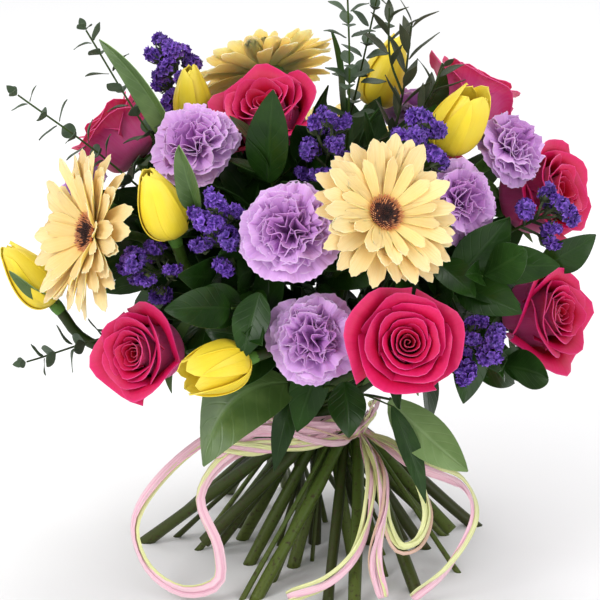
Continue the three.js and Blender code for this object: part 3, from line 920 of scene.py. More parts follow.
class Outline(Enum):
    """How a leaf widens and narrows from its root to its tip."""

    OVAL = (0.86, 0.8)
    LANCE = (0.8, 0.95)
    STRAP = (0.7, 0.6)

    def width(self, v: Array) -> Array:
        """The share of the full width at shares along the leaf."""
        skew, fullness = self.value
        return np.sin(math.pi * np.clip(0.015 + 0.985 * v, 0, 1) ** skew) ** fullness


@dataclass(frozen=True)
class LeafKind:
    """One kind of leaf and how it stands on its stem.

    Its half is its half width, its stem a radius, and its gap the distance to the next leaf. Wander is
    the share of its random bends and twists.
    """

    length: float
    half: float
    outline: Outline
    stem: float = 1.0
    gap: float = 1.0
    spread: float = 0.0
    paired: bool = False
    terminal: bool = False
    fold: float = 0.25
    droop: float = 25.0
    petiole: float = 2.0
    wander: float = 1.0

    def leaf(self, sheet: Blank, size: float, rng: Random, droop: float | None = None) -> Array:
        """The corners of a leaf that grows along +X with its upper side to +Z.

        Args:
            sheet: the blank that it is shaped from.
            size: its size beside a full leaf.
            rng: the source of its own small differences.
            droop: how far it arches, in degrees, or None for its kind's own.

        Returns:
            The corners.
        """
        u, v = sheet.u, sheet.v
        droop = self.droop if droop is None else droop
        arch = math.radians(droop + self.wander * rng.uniform(-12, 12)) + 1e-3
        length, half = self.length * size, self.half * size
        width = half * np.maximum(self.outline.width(v), 0.03)
        x = length * np.sin(arch * v) / arch
        z = -length * (1 - np.cos(arch * v)) / arch
        wave = 0.05 * half * np.sin(rng.uniform(5, 8) * v + any_phase(rng)) * np.abs(u)
        z = z + self.fold * np.abs(u) * width + wave * 2
        twist = self.wander * rng.uniform(-0.25, 0.25) * v
        y = u * width * math.cos(math.atan(self.fold))
        sway = 0.04 * self.wander * length * rng.uniform(-1, 1) * v * v
        y, z = y * np.cos(twist) + sway, z + y * np.sin(twist)
        return np.column_stack([x + self.petiole * size, y, z])


def growing(at: Array, along: Array, side: Array, spread: float) -> Array:
    """The matrix that sets a leaf at a place on a stem.

    Args:
        at: the place.
        along: the stem's direction there.
        side: the side of the stem that it grows from.
        spread: the angle between leaf and stem, in degrees.

    Returns:
        The matrix.
    """
    s = math.radians(spread)
    x = along * math.cos(s) + side * math.sin(s)
    y = np.cross(along, side)
    return laid(at, unit(x), unit(y))


@dataclass(frozen=True)
class Calyx:
    """The green cup under a flower, and the narrow blades that curl back from it.

    The level is the blades' height on the cup, and the flare is how far they stand out.
    """

    profile: Profile
    sides: int
    chance: float
    blades: int = 0
    length: float = 0.0
    half: float = 0.0
    level: float = 0.0
    flare: float = 0.0

    def grow(self, cups: Pile, blades: Pile, seat: Array, sheet: Blank, rng: Random) -> None:
        """Adds the cup and the blades of one flower.

        Args:
            cups: the piece that the cup joins.
            blades: the piece that the blades join.
            seat: the flower's place.
            sheet: the blank that the blades are shaped from.
            rng: the source of their own small differences.
        """
        cups.add(lathe(self.profile, self.sides, chance=self.chance).moved(seat), 1)
        kind = LeafKind(self.length, self.half, Outline.LANCE, fold=0.2, petiole=0)
        for i in range(self.blades):
            angle = math.tau * i / self.blades + rng.uniform(-0.15, 0.15)
            out = np.array([math.cos(angle), math.sin(angle), 0.0])
            matrix = growing(out * 5.5 + UP * self.level, UP, out, self.flare + rng.uniform(-15, 15))
            corners = kind.leaf(sheet, rng.uniform(0.85, 1.1), rng, droop=rng.uniform(-20, 60))
            blades.add(sheet.shape(corners, chance=rng.uniform()).moved(seat @ matrix))


# Flowers


@dataclass
class Flower:
    """What every kind of flower has.

    Its height is that of its open face above its cup, its stem a radius and its cup a depth. The grid is
    that of its petals' blank, and the finishes are those of the petals' back and face, then of the heart.
    """

    slot: str
    height: float
    stem: float
    cup: float
    thickness: float
    seed: int
    grid: tuple[int, int]
    calyx: Calyx
    finishes: tuple
    ending: str = "_petals"

    def build(self, places: list[Bloom]) -> None:
        """Makes every flower of the kind.

        Args:
            places: its blooms.
        """
        sheet = Blank(*self.grid)
        materials = materials_of(self.finishes)
        for index, bloom in enumerate(places):
            rng = np.random.default_rng(self.seed + index)
            seat = bloom.seat(self.height, index)
            pile = Pile(bloom.name + self.ending)
            for shape in self.shapes(bloom, sheet, rng):
                pile.add(shape.moved(seat))
            seated(pile.build(materials[:2], self.thickness), self.slot, bloom.name)
            self.heart(bloom, seat, rng, materials[2:])

    def shapes(self, bloom: Bloom, sheet: Blank, rng: Random) -> Iterator[Shape]:
        """Its petals, made along Z on the origin.

        Args:
            bloom: its place.
            sheet: the blank that they are shaped from.
            rng: the source of their own small differences.

        Returns:
            Each shape in turn.
        """
        raise NotImplementedError

    def heart(self, bloom: Bloom, seat: Array, rng: Random, materials: list[Material]) -> None:
        """Makes a piece of its own for its middle, where its kind has one."""


@dataclass
class Roses(Flower):
    """Open roses: petals spiral out from a tight heart, and roll back at their rims.

    Each row of five values runs from the innermost petal to the outermost.
    """

    slot: str = "rose"
    height: float = 38.0
    stem: float = 4.0
    cup: float = 17.0
    thickness: float = 0.5
    seed: int = 100
    grid: tuple[int, int] = (12, 13)
    calyx: Calyx = Calyx(((3.8, -17.5), (5.2, -14), (7.6, -9), (7.4, -4), (7.0, -0.5), (0, 0)), 14, 0.6,
                         blades=5, length=27, half=4.2, level=-4, flare=70)
    # The dark face root is painted shade between the petals, and the deep heart on the inner petals is
    # partly the rose's own deeper red and partly painted shade.
    finishes: tuple = (
        PetalFinish("rose_back", (0.70, 0.28, 0.42), (0.74, 0.07, 0.28), (0.74, 0.015, 0.17),
                    (0.45, 0.0, 0.03), heart_reach=0.5, rim_start=0.68, glow=0.3, sheen=0.04, veins=0.2,
                    edge_and_highlight=(0.78, 0.04, 0.24)),
        PetalFinish("rose_face", (0.36, 0.0, 0.012), (0.54, 0.001, 0.026), (0.69, 0.006, 0.12),
                    (0.40, 0.0, 0.010), heart_reach=0.52, rim_start=0.74, sheen=0.0,
                    edge_and_highlight=(0.77, 0.03, 0.20)),
    )
    petals: int = 23
    bend: float = 0.74
    neck: float = 12.0
    half_turns: Row = (140, 112, 92, 80, 68)
    shoulders: Row = (0.1, 0.16, 0.24, 0.32, 0.38)
    rim_radii: Row = (1.0, 5.6, 11.2, 17.5, 25.0)
    rim_heights: Row = (32, 35.5, 36, 33, 26)
    openings: Row = (0, 10, 20, 27, 30)
    bellies: Row = (5, 12, 20, 26, 28)
    rolls: Row = (10, 28, 46, 66, 88)
    lips: Row = (1.2, 3.0, 5.2, 8.4, 12.0)
    waves: Row = (0.3, 0.8, 1.2, 1.6, 2.0)
    hollows: Row = (0, 0.2, 0.8, 1.8, 2.8)

    def petal(self, sheet: Blank, share: float, turn: float, rng: Random) -> Array:
        """The corners of one petal.

        Args:
            sheet: the blank that it is shaped from.
            share: 0 for the innermost petal and 1 for the outermost.
            turn: its place round the flower, in radians.
            rng: the source of its own small differences.

        Returns:
            The corners.
        """
        u, v = sheet.u, sheet.v
        half = math.radians(between(self.half_turns, share))
        shoulder = 1 - between(self.shoulders, share) * np.abs(u) ** 2.6
        rise = np.clip(v / self.bend, 0, 1) * shoulder
        rim = (between(self.rim_radii, share) * rng.uniform(0.92, 1.06),
               between(self.rim_heights, share) + rng.uniform(-1.6, 1.6))
        opening = math.radians(between(self.openings, share) + rng.uniform(-4, 4))
        neck = (rim[0] - self.neck * math.sin(opening), rim[1] - self.neck * math.cos(opening))
        foot, belly = (2.5 + 1.5 * share, 1.0), (between(self.bellies, share), 3 - 3 * share)
        place, slope = bezier([foot, belly, neck, rim], rise)
        roll = np.radians(between(self.rolls, share)) * (0.6 + 0.55 * np.abs(u) ** 1.4)
        lip = between(self.lips, share) * (1 + 0.22 * share * np.exp(-((u / 0.24) ** 2)))
        swing = roll * np.clip((v - self.bend) / (1 - self.bend), 0, 1)
        forward, outward = lip * np.sin(swing) / roll, lip * (1 - np.cos(swing)) / roll
        radius = place[:, 0] + slope[:, 0] * forward + slope[:, 1] * outward
        level = place[:, 1] + slope[:, 1] * forward - slope[:, 0] * outward
        wave = between(self.waves, share) * np.sin(rng.uniform(1.6, 2.8) * math.pi * u + any_phase(rng))
        radius = radius + 1.1 * u * eased(v) + between(self.hollows, share) * u * u * v + 0.5 * wave * v**3
        level = level + wave * v**4
        angle = turn + u * half * (0.6 + 0.4 * eased(v / 0.6)) + rng.uniform(-0.09, 0.09)
        return polar(radius, angle, level)

    def shapes(self, bloom: Bloom, sheet: Blank, rng: Random) -> Iterator[Shape]:
        """Its petals, from the heart outwards.

        Args:
            bloom: not used.
            sheet: the blank that they are shaped from.
            rng: the source of their own small differences.

        Returns:
            Each shape in turn.
        """
        for i in range(self.petals):
            share = i / (self.petals - 1)
            corners = self.petal(sheet, share, math.radians(LEAF_TURN) * i, rng)
            yield sheet.shape(corners, layer=share, chance=rng.uniform())


@dataclass
class Carnations(Flower):
    """Domes of crumpled, frilled petals with finely toothed rims.

    Each row is its count of petals and their tilt, from 0 along the axis to 1 flat out.
    """

    slot: str = "carnation"
    height: float = 27.0
    stem: float = 2.9
    cup: float = 25.0
    thickness: float = 0.35
    seed: int = 200
    grid: tuple[int, int] = (16, 8)
    calyx: Calyx = Calyx(((3.2, -25.5), (4.4, -24), (5.2, -16), (5.6, -4), (6.6, 3), (4, 2)), 12, 0.7,
                         blades=5, length=9, half=2.8, level=-1, flare=22)
    # The very dark root is painted shade in the gaps between the petals, and the darker heart of the inner
    # rows is partly painted shade.
    finishes: tuple = (
        PetalFinish("carnation_face", (0.18, 0.03, 0.22), (0.70, 0.33, 0.77), (0.80, 0.46, 0.86),
                    (0.55, 0.20, 0.60), heart_reach=0.5, rim_start=0.7, roughness=0.6, sheen=0.12,
                    edge_and_highlight=(0.84, 0.60, 0.90)),
    )
    rows: tuple = ((7, 1.06), (7, 0.9), (7, 0.72), (8, 0.55), (8, 0.4), (8, 0.26), (6, 0.12))
    spread: float = 31.5
    rise: float = 22.0
    crimp: float = 1.3
    tooth: float = 0.42

    def petal(self, sheet: Blank, tilt: float, turn: float, rng: Random) -> Array:
        """The corners of one petal.

        Args:
            sheet: the blank that it is shaped from.
            tilt: 0 where it stands along the axis and 1 where it lies flat out.
            turn: its place round the flower, in radians.
            rng: the source of its own small differences.

        Returns:
            The corners.
        """
        u, v = sheet.u, sheet.v
        lean = math.radians(4 + 90 * tilt + rng.uniform(-9, 9))
        reach = rng.uniform(0.78, 1.06)
        tip = (self.spread * math.sin(lean) ** 0.9 * reach, 5.5 + self.rise * math.cos(lean) * reach)
        points = [(0.4, 0.0), (1.5, 9.0), (0.5 * tip[0] + 1.0, 0.35 * tip[1] + 8.5), tip]
        place, slope = bezier(points, v * (1 - 0.2 * np.abs(u) ** 2.4))
        upright = 1.0 - min(tilt, 1.0)
        width = 1.4 + (rng.uniform(15.5, 18.5) - 8.5 * upright) * v**1.25
        folds = rng.uniform(0.9, 1.5) + 0.9 * upright
        frill = (1.9 + 2.6 * upright) * v**1.7 * np.sin(folds * math.pi * u + any_phase(rng))
        crimp = self.crimp * v**3 * np.sin(rng.uniform(2.6, 4.2) * math.pi * u + any_phase(rng))
        tooth = self.tooth * v**12 * np.where(np.arange(len(u)) % 2, 1.0, -1.0)
        turned_out = rng.uniform(-0.6, 0.6) * (0.35 + 0.9 * upright)
        aside = u * width * math.cos(turned_out) + 0.3 * frill
        bowl = (1.2 - 2.4 * upright) * u * u * v**2
        lift = (frill + crimp) + u * width * math.sin(turned_out) * v + bowl
        radius = place[:, 0] + slope[:, 0] * tooth + slope[:, 1] * lift
        level = place[:, 1] + slope[:, 1] * tooth - slope[:, 0] * lift
        return np.column_stack([
            radius * math.cos(turn) - aside * math.sin(turn),
            radius * math.sin(turn) + aside * math.cos(turn),
            level,
        ])

    def shapes(self, bloom: Bloom, sheet: Blank, rng: Random) -> Iterator[Shape]:
        """Its petals, from the lowest row to the middle.

        Args:
            bloom: not used.
            sheet: the blank that they are shaped from.
            rng: the source of their own small differences.

        Returns:
            Each shape in turn.
        """
        for count, tilt in self.rows:
            start = any_phase(rng)
            for i in range(count):
                turn = start + math.tau * i / count + rng.uniform(-0.2, 0.2)
                corners = self.petal(sheet, tilt + rng.uniform(-0.06, 0.06), turn, rng)
                yield sheet.shape(corners, layer=tilt, chance=rng.uniform())


@dataclass
class Gerberas(Flower):
    """Daisies with whorls of grooved rays round a dark disc with a peach ring.

    Each whorl is its count of rays, their length, their rise and their half width. Florets inside the
    dark share of the disc's radius are short, and those outside the peach share are pale.
    """

    slot: str = "gerbera_ray"
    height: float = 9.0
    stem: float = 3.4
    cup: float = 10.0
    thickness: float = 0.45
    seed: int = 300
    grid: tuple[int, int] = (6, 10)
    calyx: Calyx = Calyx(((3.6, -10.5), (7.5, -8), (11.5, -2), (12.5, 3.4), (9, 3.6)), 18, 0.6,
                         blades=16, length=11, half=1.8, level=-6, flare=62)
    finishes: tuple = (
        PetalFinish("gerbera_back_face", (0.97, 0.54, 0.10), (1.0, 0.74, 0.26), (1.0, 0.82, 0.42),
                    (0.97, 0.62, 0.16), heart_reach=0.2, veins=0.36, sheen=0.05, glow=1.0),
        PetalFinish("gerbera_face", (0.94, 0.47, 0.08), (0.97, 0.73, 0.31), (0.97, 0.77, 0.42),
                    (0.96, 0.63, 0.18), heart_reach=0.3, rim_start=0.6, veins=0.36, sheen=0.05, glow=0.2),
        MattFinish("disc_middle", (0.07, 0.02, 0.015), (0.012, 0.004, 0.003)),
        MattFinish("disc_brown", (0.26, 0.07, 0.035), (0.04, 0.01, 0.008)),
        MattFinish("disc_ring", (0.95, 0.52, 0.24), (0.70, 0.24, 0.09)),
    )
    ending: str = "_rays"
    whorls: tuple = ((25, 43, 7, 6.0), (22, 40, 17, 5.6), (16, 29, 28, 4.3))
    dome: Profile = ((10.5, 4.4), (10.0, 6.4), (7.5, 7.2), (5.0, 6.8), (2.0, 5.8), (0, 5.6))
    disc: float = 10.5
    florets: int = 230
    dark: float = 0.5
    peach: float = 0.74

    def ray(self, sheet: Blank, length: float, rise: float, half: float, turn: float, rng: Random) -> Array:
        """The corners of one ray.

        Args:
            sheet: the blank that it is shaped from.
            length: of the ray.
            rise: its angle above the flat, in degrees.
            half: its half width.
            turn: its place round the flower, in radians.
            rng: the source of its own small differences.

        Returns:
            The corners.
        """
        u, v = sheet.u, sheet.v
        broad = np.interp(v, [0, 0.2, 0.5, 0.75, 0.9, 0.96, 1.0], [0.4, 0.7, 0.95, 1.0, 0.96, 0.86, 0.66])
        droop = math.radians(rng.uniform(-12, 26)) + 1e-3
        along = length * (v - 0.11 * u * u * v**4) + 0.35 * v**14 * np.cos(3 * math.pi * u)
        out = np.sin(droop * v) / droop * along / np.maximum(v, 1e-3)
        down = (1 - np.cos(droop * v)) / droop * along / np.maximum(v, 1e-3)
        e = math.radians(rise)
        groove = 0.24 * np.cos(3 * math.pi * u) * np.minimum(v * 4, 1)
        channel = rng.uniform(0.6, 1.5) * u * u * broad - groove
        x = 7.5 + out * math.cos(e) + down * math.sin(e)
        z = 4.2 + out * math.sin(e) - down * math.cos(e) + channel
        y = u * half * broad + rng.uniform(-2.2, 2.2) * v * v
        twist = rng.uniform(-0.3, 0.3) * v
        y, z = y * np.cos(twist), z + y * np.sin(twist)
        return placed(turned(turn), np.column_stack([x, y, z]))

    def shapes(self, bloom: Bloom, sheet: Blank, rng: Random) -> Iterator[Shape]:
        """Its rays, from the lowest whorl to the short inner one.

        Args:
            bloom: not used.
            sheet: the blank that they are shaped from.
            rng: the source of their own small differences.

        Returns:
            Each shape in turn.
        """
        for whorl, (count, length, rise, half) in enumerate(self.whorls):
            start = any_phase(rng)
            for i in range(count):
                turn = start + math.tau * i / count + rng.uniform(-0.08, 0.08)
                reach = length * rng.uniform(0.9, 1.02)
                lift = rise + rng.uniform(-7, 9)
                corners = self.ray(sheet, reach, lift, half * rng.uniform(0.9, 1.06), turn, rng)
                yield sheet.shape(corners, layer=1.0 - 0.4 * whorl, chance=rng.uniform())

    def heart(self, bloom: Bloom, seat: Array, rng: Random, materials: list[Material]) -> None:
        """Makes the disc, of short florets in the dark middle and longer ones outside it.

        Args:
            bloom: its place.
            seat: the flower's matrix.
            rng: the source of the florets' own small differences.
            materials: the finishes of the dark middle, the brown part and the peach ring.
        """
        disc = Pile(bloom.name + "_florets")
        disc.add(lathe(self.dome, 24, chance=0.2).moved(seat), 1)
        for i in range(self.florets):
            share = math.sqrt((i + 0.5) / self.florets)
            radius = self.disc * share
            angle = math.radians(FLORET_TURN) * i
            base = np.array([radius * math.cos(angle), radius * math.sin(angle), 5.6 + 1.2 * share])
            lean = unit(np.array([math.cos(angle) * share * 0.8, math.sin(angle) * share * 0.8, 1.0]))
            inside = share < self.dark
            tall, wide = (1.5, 0.42) if inside else (2.3, 0.36)
            path = base + lean * np.array([[0.0], [0.6], [1.0]]) * tall * rng.uniform(0.8, 1.2)
            pin = tube(path, np.array([wide, wide * 1.1, wide * 0.7]), 5, chance=rng.uniform(), layer=share)
            peach = share > self.peach or (share > self.dark and rng.uniform() < 0.45)
            disc.add(pin.moved(seat), 2 if peach else (0 if inside else 1))
        seated(disc.build(materials), "gerbera_disc", bloom.name + "_disc")


@dataclass
class Tulips(Flower):
    """Three outer petals and three inner ones, closed to an egg or opening."""

    slot: str = "tulip"
    height: float = 50.0
    stem: float = 4.0
    cup: float = 8.0
    thickness: float = 0.6
    seed: int = 400
    grid: tuple[int, int] = (14, 18)
    calyx: Calyx = Calyx(((4.0, -8.5), (4.6, -4), (4.4, -1), (2.5, 0.6)), 12, 0.9)
    finishes: tuple = (
        PetalFinish("tulip_face", (0.80, 0.62, 0.06), (0.96, 0.72, 0.035), (0.97, 0.78, 0.09),
                    (0.90, 0.60, 0.02), heart_reach=0.3, roughness=0.36, veins=0.22, sheen=0.03),
    )
    petals: int = 6
    stamen_steps: Row = (2.0, 14.0, 15.0, 25.0)
    stamen_radii: Row = (1.0, 0.8, 1.7, 1.3)

    def petal(self, sheet: Blank, inner: bool, openness: float, turn: float, rng: Random) -> Array:
        """The corners of one petal.

        Args:
            sheet: the blank that it is shaped from.
            inner: whether it is one of the inner three.
            openness: 0 for a closed flower and 1 for an open one.
            turn: its place round the flower, in radians.
            rng: the source of its own small differences.

        Returns:
            The corners.
        """
        u, v = sheet.u, sheet.v
        o = min(1.0, max(0.0, openness + rng.uniform(-0.04, 0.14)))
        inset = 1.3 if inner else 0.0
        tall = self.height - (3.0 if inner else 0.0) + rng.uniform(-1.5, 1.0)
        tip = (1.2 + 15 * o + inset * 0.3, tall - 4.0 * o)
        points = [(2.5, 0.0), (20.5 - inset + 3 * o, 0.5), (15.0 - inset + 6 * o, 30.0), tip]
        place, slope = bezier(points, v)
        outline = np.sin(math.pi * np.clip(0.14 + 0.86 * v, 0, 1) ** 0.95) ** 0.6
        width = (16.0 if inner else 17.5) * outline
        spread = np.maximum(place[:, 0], 6.5)
        angle = u * width / (spread + 3.0 * o) + turn
        cup = place[:, 0] + (0.03 + 0.14 * o) * width * u * u + 0.5 * u
        curl = 0.9 * np.abs(u) ** 3 * v**2 * (1 + o)
        flare = 2.2 * v**10 * (1 - u * u)
        ridge = 0.35 * np.exp(-((u / 0.12) ** 2)) * v
        radius = cup + curl * slope[:, 1] - ridge + flare
        level = place[:, 1] - curl * slope[:, 0] + 0.6 * np.sin(4 * u + any_phase(rng)) * v**3
        return polar(radius, angle, level)

    def shapes(self, bloom: Bloom, sheet: Blank, rng: Random) -> Iterator[Shape]:
        """Its petals, outer and inner by turns, and the stamens of an open one.

        Args:
            bloom: its place.
            sheet: the blank that they are shaped from.
            rng: the source of their own small differences.

        Returns:
            Each shape in turn.
        """
        turns = [math.radians(360 // self.petals * i) for i in range(self.petals)]
        for i, turn in enumerate(turns):
            inner = i % 2 == 1
            corners = self.petal(sheet, inner, bloom.openness, turn + rng.uniform(-0.05, 0.05), rng)
            yield sheet.shape(corners, layer=0.6 if inner else 1.0, chance=rng.uniform())
        for turn in turns if bloom.openness else ():
            way = unit(np.array([math.cos(turn) * 0.2, math.sin(turn) * 0.2, 1.0]))
            steps = way * np.array(self.stamen_steps)[:, None]
            yield tube(steps, np.array(self.stamen_radii), 6, chance=0.4)


FLOWERS: list[tuple[Flower, list[Bloom]]] = [
    (Roses(), ROSES),
    (Carnations(), CARNATIONS),
    (Gerberas(), GERBERAS),
    (Tulips(), TULIPS),
]


# Greenery

EUCALYPTUS_KIND = LeafKind(16, 5.0, Outline.OVAL, 0.9, 11.0, 58, paired=True, droop=20, fold=0.15)
WILLOW_KIND = LeafKind(27, 3.7, Outline.LANCE, 1.1, 6.5, 42, droop=14, fold=0.25)
RUSCUS_KIND = LeafKind(54, 14.0, Outline.OVAL, 1.6, 22, 52, terminal=True, droop=28, fold=0.22)
BROAD_KIND = LeafKind(84, 20.0, Outline.OVAL, 2.2, 100, 50, terminal=True, droop=48, fold=0.3)


@dataclass(frozen=True)
class SetLeaf:
    """A leaf that shows at the front, set by its root and its tip, with its arch and sideways bow."""

    stem: str
    root: Point
    tip: Point
    half: float
    arch: float
    outline: Outline = Outline.OVAL
    under: bool = False
    bow: float = 0.0

    def shape(self, sheet: Blank, rng: Random) -> Shape:
        """The leaf in its place.

        Args:
            sheet: the blank that it is shaped from.
            rng: the source of its own small differences.

        Returns:
            The shape.
        """
        root, tip = np.array(self.root, float), np.array(self.tip, float)
        chord = unit(tip - root)
        bend = math.radians(self.arch) / 2
        length = float(np.linalg.norm(tip - root)) * bend / math.sin(bend)
        faced = unit(root * LEVEL) + np.array([0, -0.6, 0.45])
        faced = -faced if self.under else faced
        up = unit(faced - chord * np.dot(faced, chord))
        x, z = chord * math.cos(bend) + up * math.sin(bend), up * math.cos(bend) - chord * math.sin(bend)
        fold = 0.5 if self.outline is Outline.STRAP else 0.22
        kind = LeafKind(length, self.half, self.outline, fold=fold, droop=self.arch, petiole=0, wander=0.3)
        corners = kind.leaf(sheet, 1.0, rng)
        corners[:, 1] += self.bow * 4 * sheet.v * (1 - sheet.v)
        leaf = sheet.shape(corners, chance=rng.uniform(0.3, 1.0))
        return leaf.moved(basis(root, x, np.cross(z, x), z))

    def stalk(self, line: Array) -> Array:
        """The short stalk from the nearest place on its stem to its root.

        Args:
            line: its stem's line.

        Returns:
            The stalk's line.
        """
        root = np.array(self.root, float)
        near = line[np.argmin(np.linalg.norm(line - root, axis=1))]
        return smooth_path([near, (near + root) / 2 + np.array([0, 0, 1.5]), root], 8)


SET_LEAVES = [
    SetLeaf("ruscus_top", (-30, -58, 270), (-27, -66, 332), 14.5, 18),
    SetLeaf("ruscus_top", (17, 20, 286), (10, 26, 348), 13, 14),
    SetLeaf("ruscus_top", (68, 14, 289), (83, 20, 328), 15, 14),
    SetLeaf("ruscus_front", (-45, -112, 207), (-88, -130, 209), 14.5, 26),
    SetLeaf("ruscus_front", (-35, -124, 218), (-45, -140, 181), 12, 22),
    SetLeaf("ruscus_front", (-33, -116, 186), (-69, -112, 190), 13, 20),
    SetLeaf("ruscus_right", (87, -72, 210), (122, -70, 251), 17, 20),
    SetLeaf("ruscus_right", (108, -62, 216), (154, -76, 220), 13, 24),
    SetLeaf("ruscus_right", (146, -28, 205), (181, -30, 226), 13, 20),
    SetLeaf("ruscus_far_right", (75, -88, 227), (99, -108, 210), 11, 20),
    SetLeaf("ruscus_far_right", (90, -76, 206), (129, -96, 196), 15, 24),
    SetLeaf("ruscus_far_right", (97, -84, 176), (93, -104, 138), 13, 24),
    SetLeaf("ruscus_far_right", (118, -60, 155), (149, -62, 138), 12, 30),
    SetLeaf("ruscus_low", (18, -103, 152), (21, -122, 122), 12.5, 18),
    SetLeaf("ruscus_low", (49, -78, 127), (71, -92, 66), 7.5, 24, Outline.LANCE),
    SetLeaf("ruscus_low", (-14, -72, 137), (-27, -86, 85), 8, 22, Outline.LANCE),
    SetLeaf("broad_leaf_left", (-14, -79, 143), (-71, -122, 103), 24, 44, bow=-17),
    SetLeaf("broad_leaf_right", (48, -71, 129), (97, -104, 92), 15, 34, under=True),
    SetLeaf("tulip_upper_left", (-89, -12, 282), (-138, 6, 348), 10, 24, Outline.STRAP, bow=-9),
    SetLeaf("tulip_left", (-74, -98, 264), (-84, -104, 307), 8.5, 16, Outline.STRAP),
    SetLeaf("tulip_far_left", (-171, -18, 179), (-199, -26, 201), 6, 20, Outline.STRAP),
]
SHOOTS: list[tuple[Array, float]] = []  # the lines and radii of side shoots and leaf stalks


@dataclass
class Foliage:
    """Leafy stems of one kind."""

    slot: str
    kind: LeafKind
    places: list[Spray]
    grid: tuple[int, int]
    finishes: tuple[LeafFinish, LeafFinish]
    seed: int = 500
    tulip_seed: int = 990

    def dress(self, pile: Pile, path: Array, leafy: float, sheet: Blank, rng: Random) -> None:
        """Sets leaves along the last stretch of a stem.

        Args:
            pile: the piece that they join.
            path: the stem's line.
            leafy: the length of the stretch.
            sheet: the blank that the leaves are shaped from.
            rng: the source of their own small differences.
        """
        kind = self.kind
        tangents, first, second = path_frames(path)
        travelled = distances(path)
        for i in range(int(leafy / kind.gap) + 1):
            distance = travelled[-1] - 2 - i * kind.gap * rng.uniform(0.92, 1.08)
            if distance < 0:
                break
            k = min(int(np.searchsorted(travelled, distance)), len(path) - 1)
            size = (0.62 + 0.38 * min(i / 3, 1)) * rng.uniform(0.9, 1.08)
            rolls = [90 * i, 90 * i + 180] if kind.paired else [LEAF_TURN * i]
            for roll in rolls:
                r = math.radians(roll + rng.uniform(-14, 14))
                side = math.cos(r) * first[k] + math.sin(r) * second[k]
                matrix = growing(path[k], tangents[k], side, kind.spread + rng.uniform(-12, 12))
                leaf = sheet.shape(kind.leaf(sheet, size, rng), chance=rng.uniform())
                pile.add(leaf.moved(matrix))
        if kind.terminal or kind.paired:
            matrix = growing(path[-1], tangents[-1], first[-1], 6)
            corners = kind.leaf(sheet, 0.95 if kind.terminal else 0.55, rng)
            pile.add(sheet.shape(corners, chance=rng.uniform()).moved(matrix))

    def build(self, lines: dict[str, Array]) -> None:
        """Makes every leafy stem of the kind.

        Args:
            lines: the stems' lines by name.
        """
        sheet = Blank(*self.grid)
        materials = materials_of(self.finishes)
        for index, spray in enumerate(self.places):
            rng = np.random.default_rng(self.seed + index + 31 * len(self.slot))
            leaves = Pile(spray.name + "_leaves")
            self.grow(leaves, spray, lines[spray.name], sheet, rng)
            seated(leaves.build(materials, LEAF_THICKNESS), self.slot, spray.name)
        if self.places is RUSCUS:
            HeadLeaves().build(materials)
        if self.places is BROAD:
            self.tulip_leaves(lines, sheet, materials)

    def grow(self, leaves: Pile, spray: Spray, line: Array, sheet: Blank, rng: Random) -> None:
        """Adds the leaves of one stem and of its side shoots.

        Args:
            leaves: the piece that they join.
            spray: the stem.
            line: its line.
            sheet: the blank that the leaves are shaped from.
            rng: the source of their own small differences.
        """
        if spray.leafy:
            self.dress(leaves, line, spray.leafy, sheet, rng)
        for i in range(spray.shoots):
            k = int(len(line) * (1 - spray.leafy * (0.85 - 0.3 * i) / path_length(line)))
            tangents, first, _ = path_frames(line)
            side = first[k] * (1 if i else -1)
            ahead = [tangents[k] * 22 + side * 12, tangents[k] * 54 + side * 18]
            shoot = smooth_path([line[k], line[k] + ahead[0], line[k] + ahead[1]], 16)
            self.dress(leaves, shoot, 44, sheet, rng)
            SHOOTS.append((shoot, self.kind.stem * 0.8))
        self.set_by_hand(leaves, spray.name, line, sheet, rng)

    def set_by_hand(self, pile: Pile, stem: str, line: Array, sheet: Blank, rng: Random) -> None:
        """Adds the leaves that are set one by one on a stem.

        Args:
            pile: the piece that they join.
            stem: the stem's name.
            line: the stem's line.
            sheet: the blank that the leaves are shaped from.
            rng: the source of their own small differences.
        """
        for leaf in SET_LEAVES:
            if leaf.stem == stem:
                pile.add(leaf.shape(sheet, rng))
                SHOOTS.append((leaf.stalk(line), 0.9))

    def tulip_leaves(self, lines: dict[str, Array], sheet: Blank, materials: list[Material]) -> None:
        """Makes the long folded leaves of the tulips.

        Args:
            lines: the stems' lines by name.
            sheet: the blank that they are shaped from.
            materials: the finishes of the leaf's back and face.
        """
        rng = np.random.default_rng(self.tulip_seed)
        leaves = Pile("tulip_leaves")
        for bloom in TULIPS:
            self.set_by_hand(leaves, bloom.name, lines[bloom.name], sheet, rng)
        seated(leaves.build(materials, BLADE_THICKNESS), "broad_leaf")


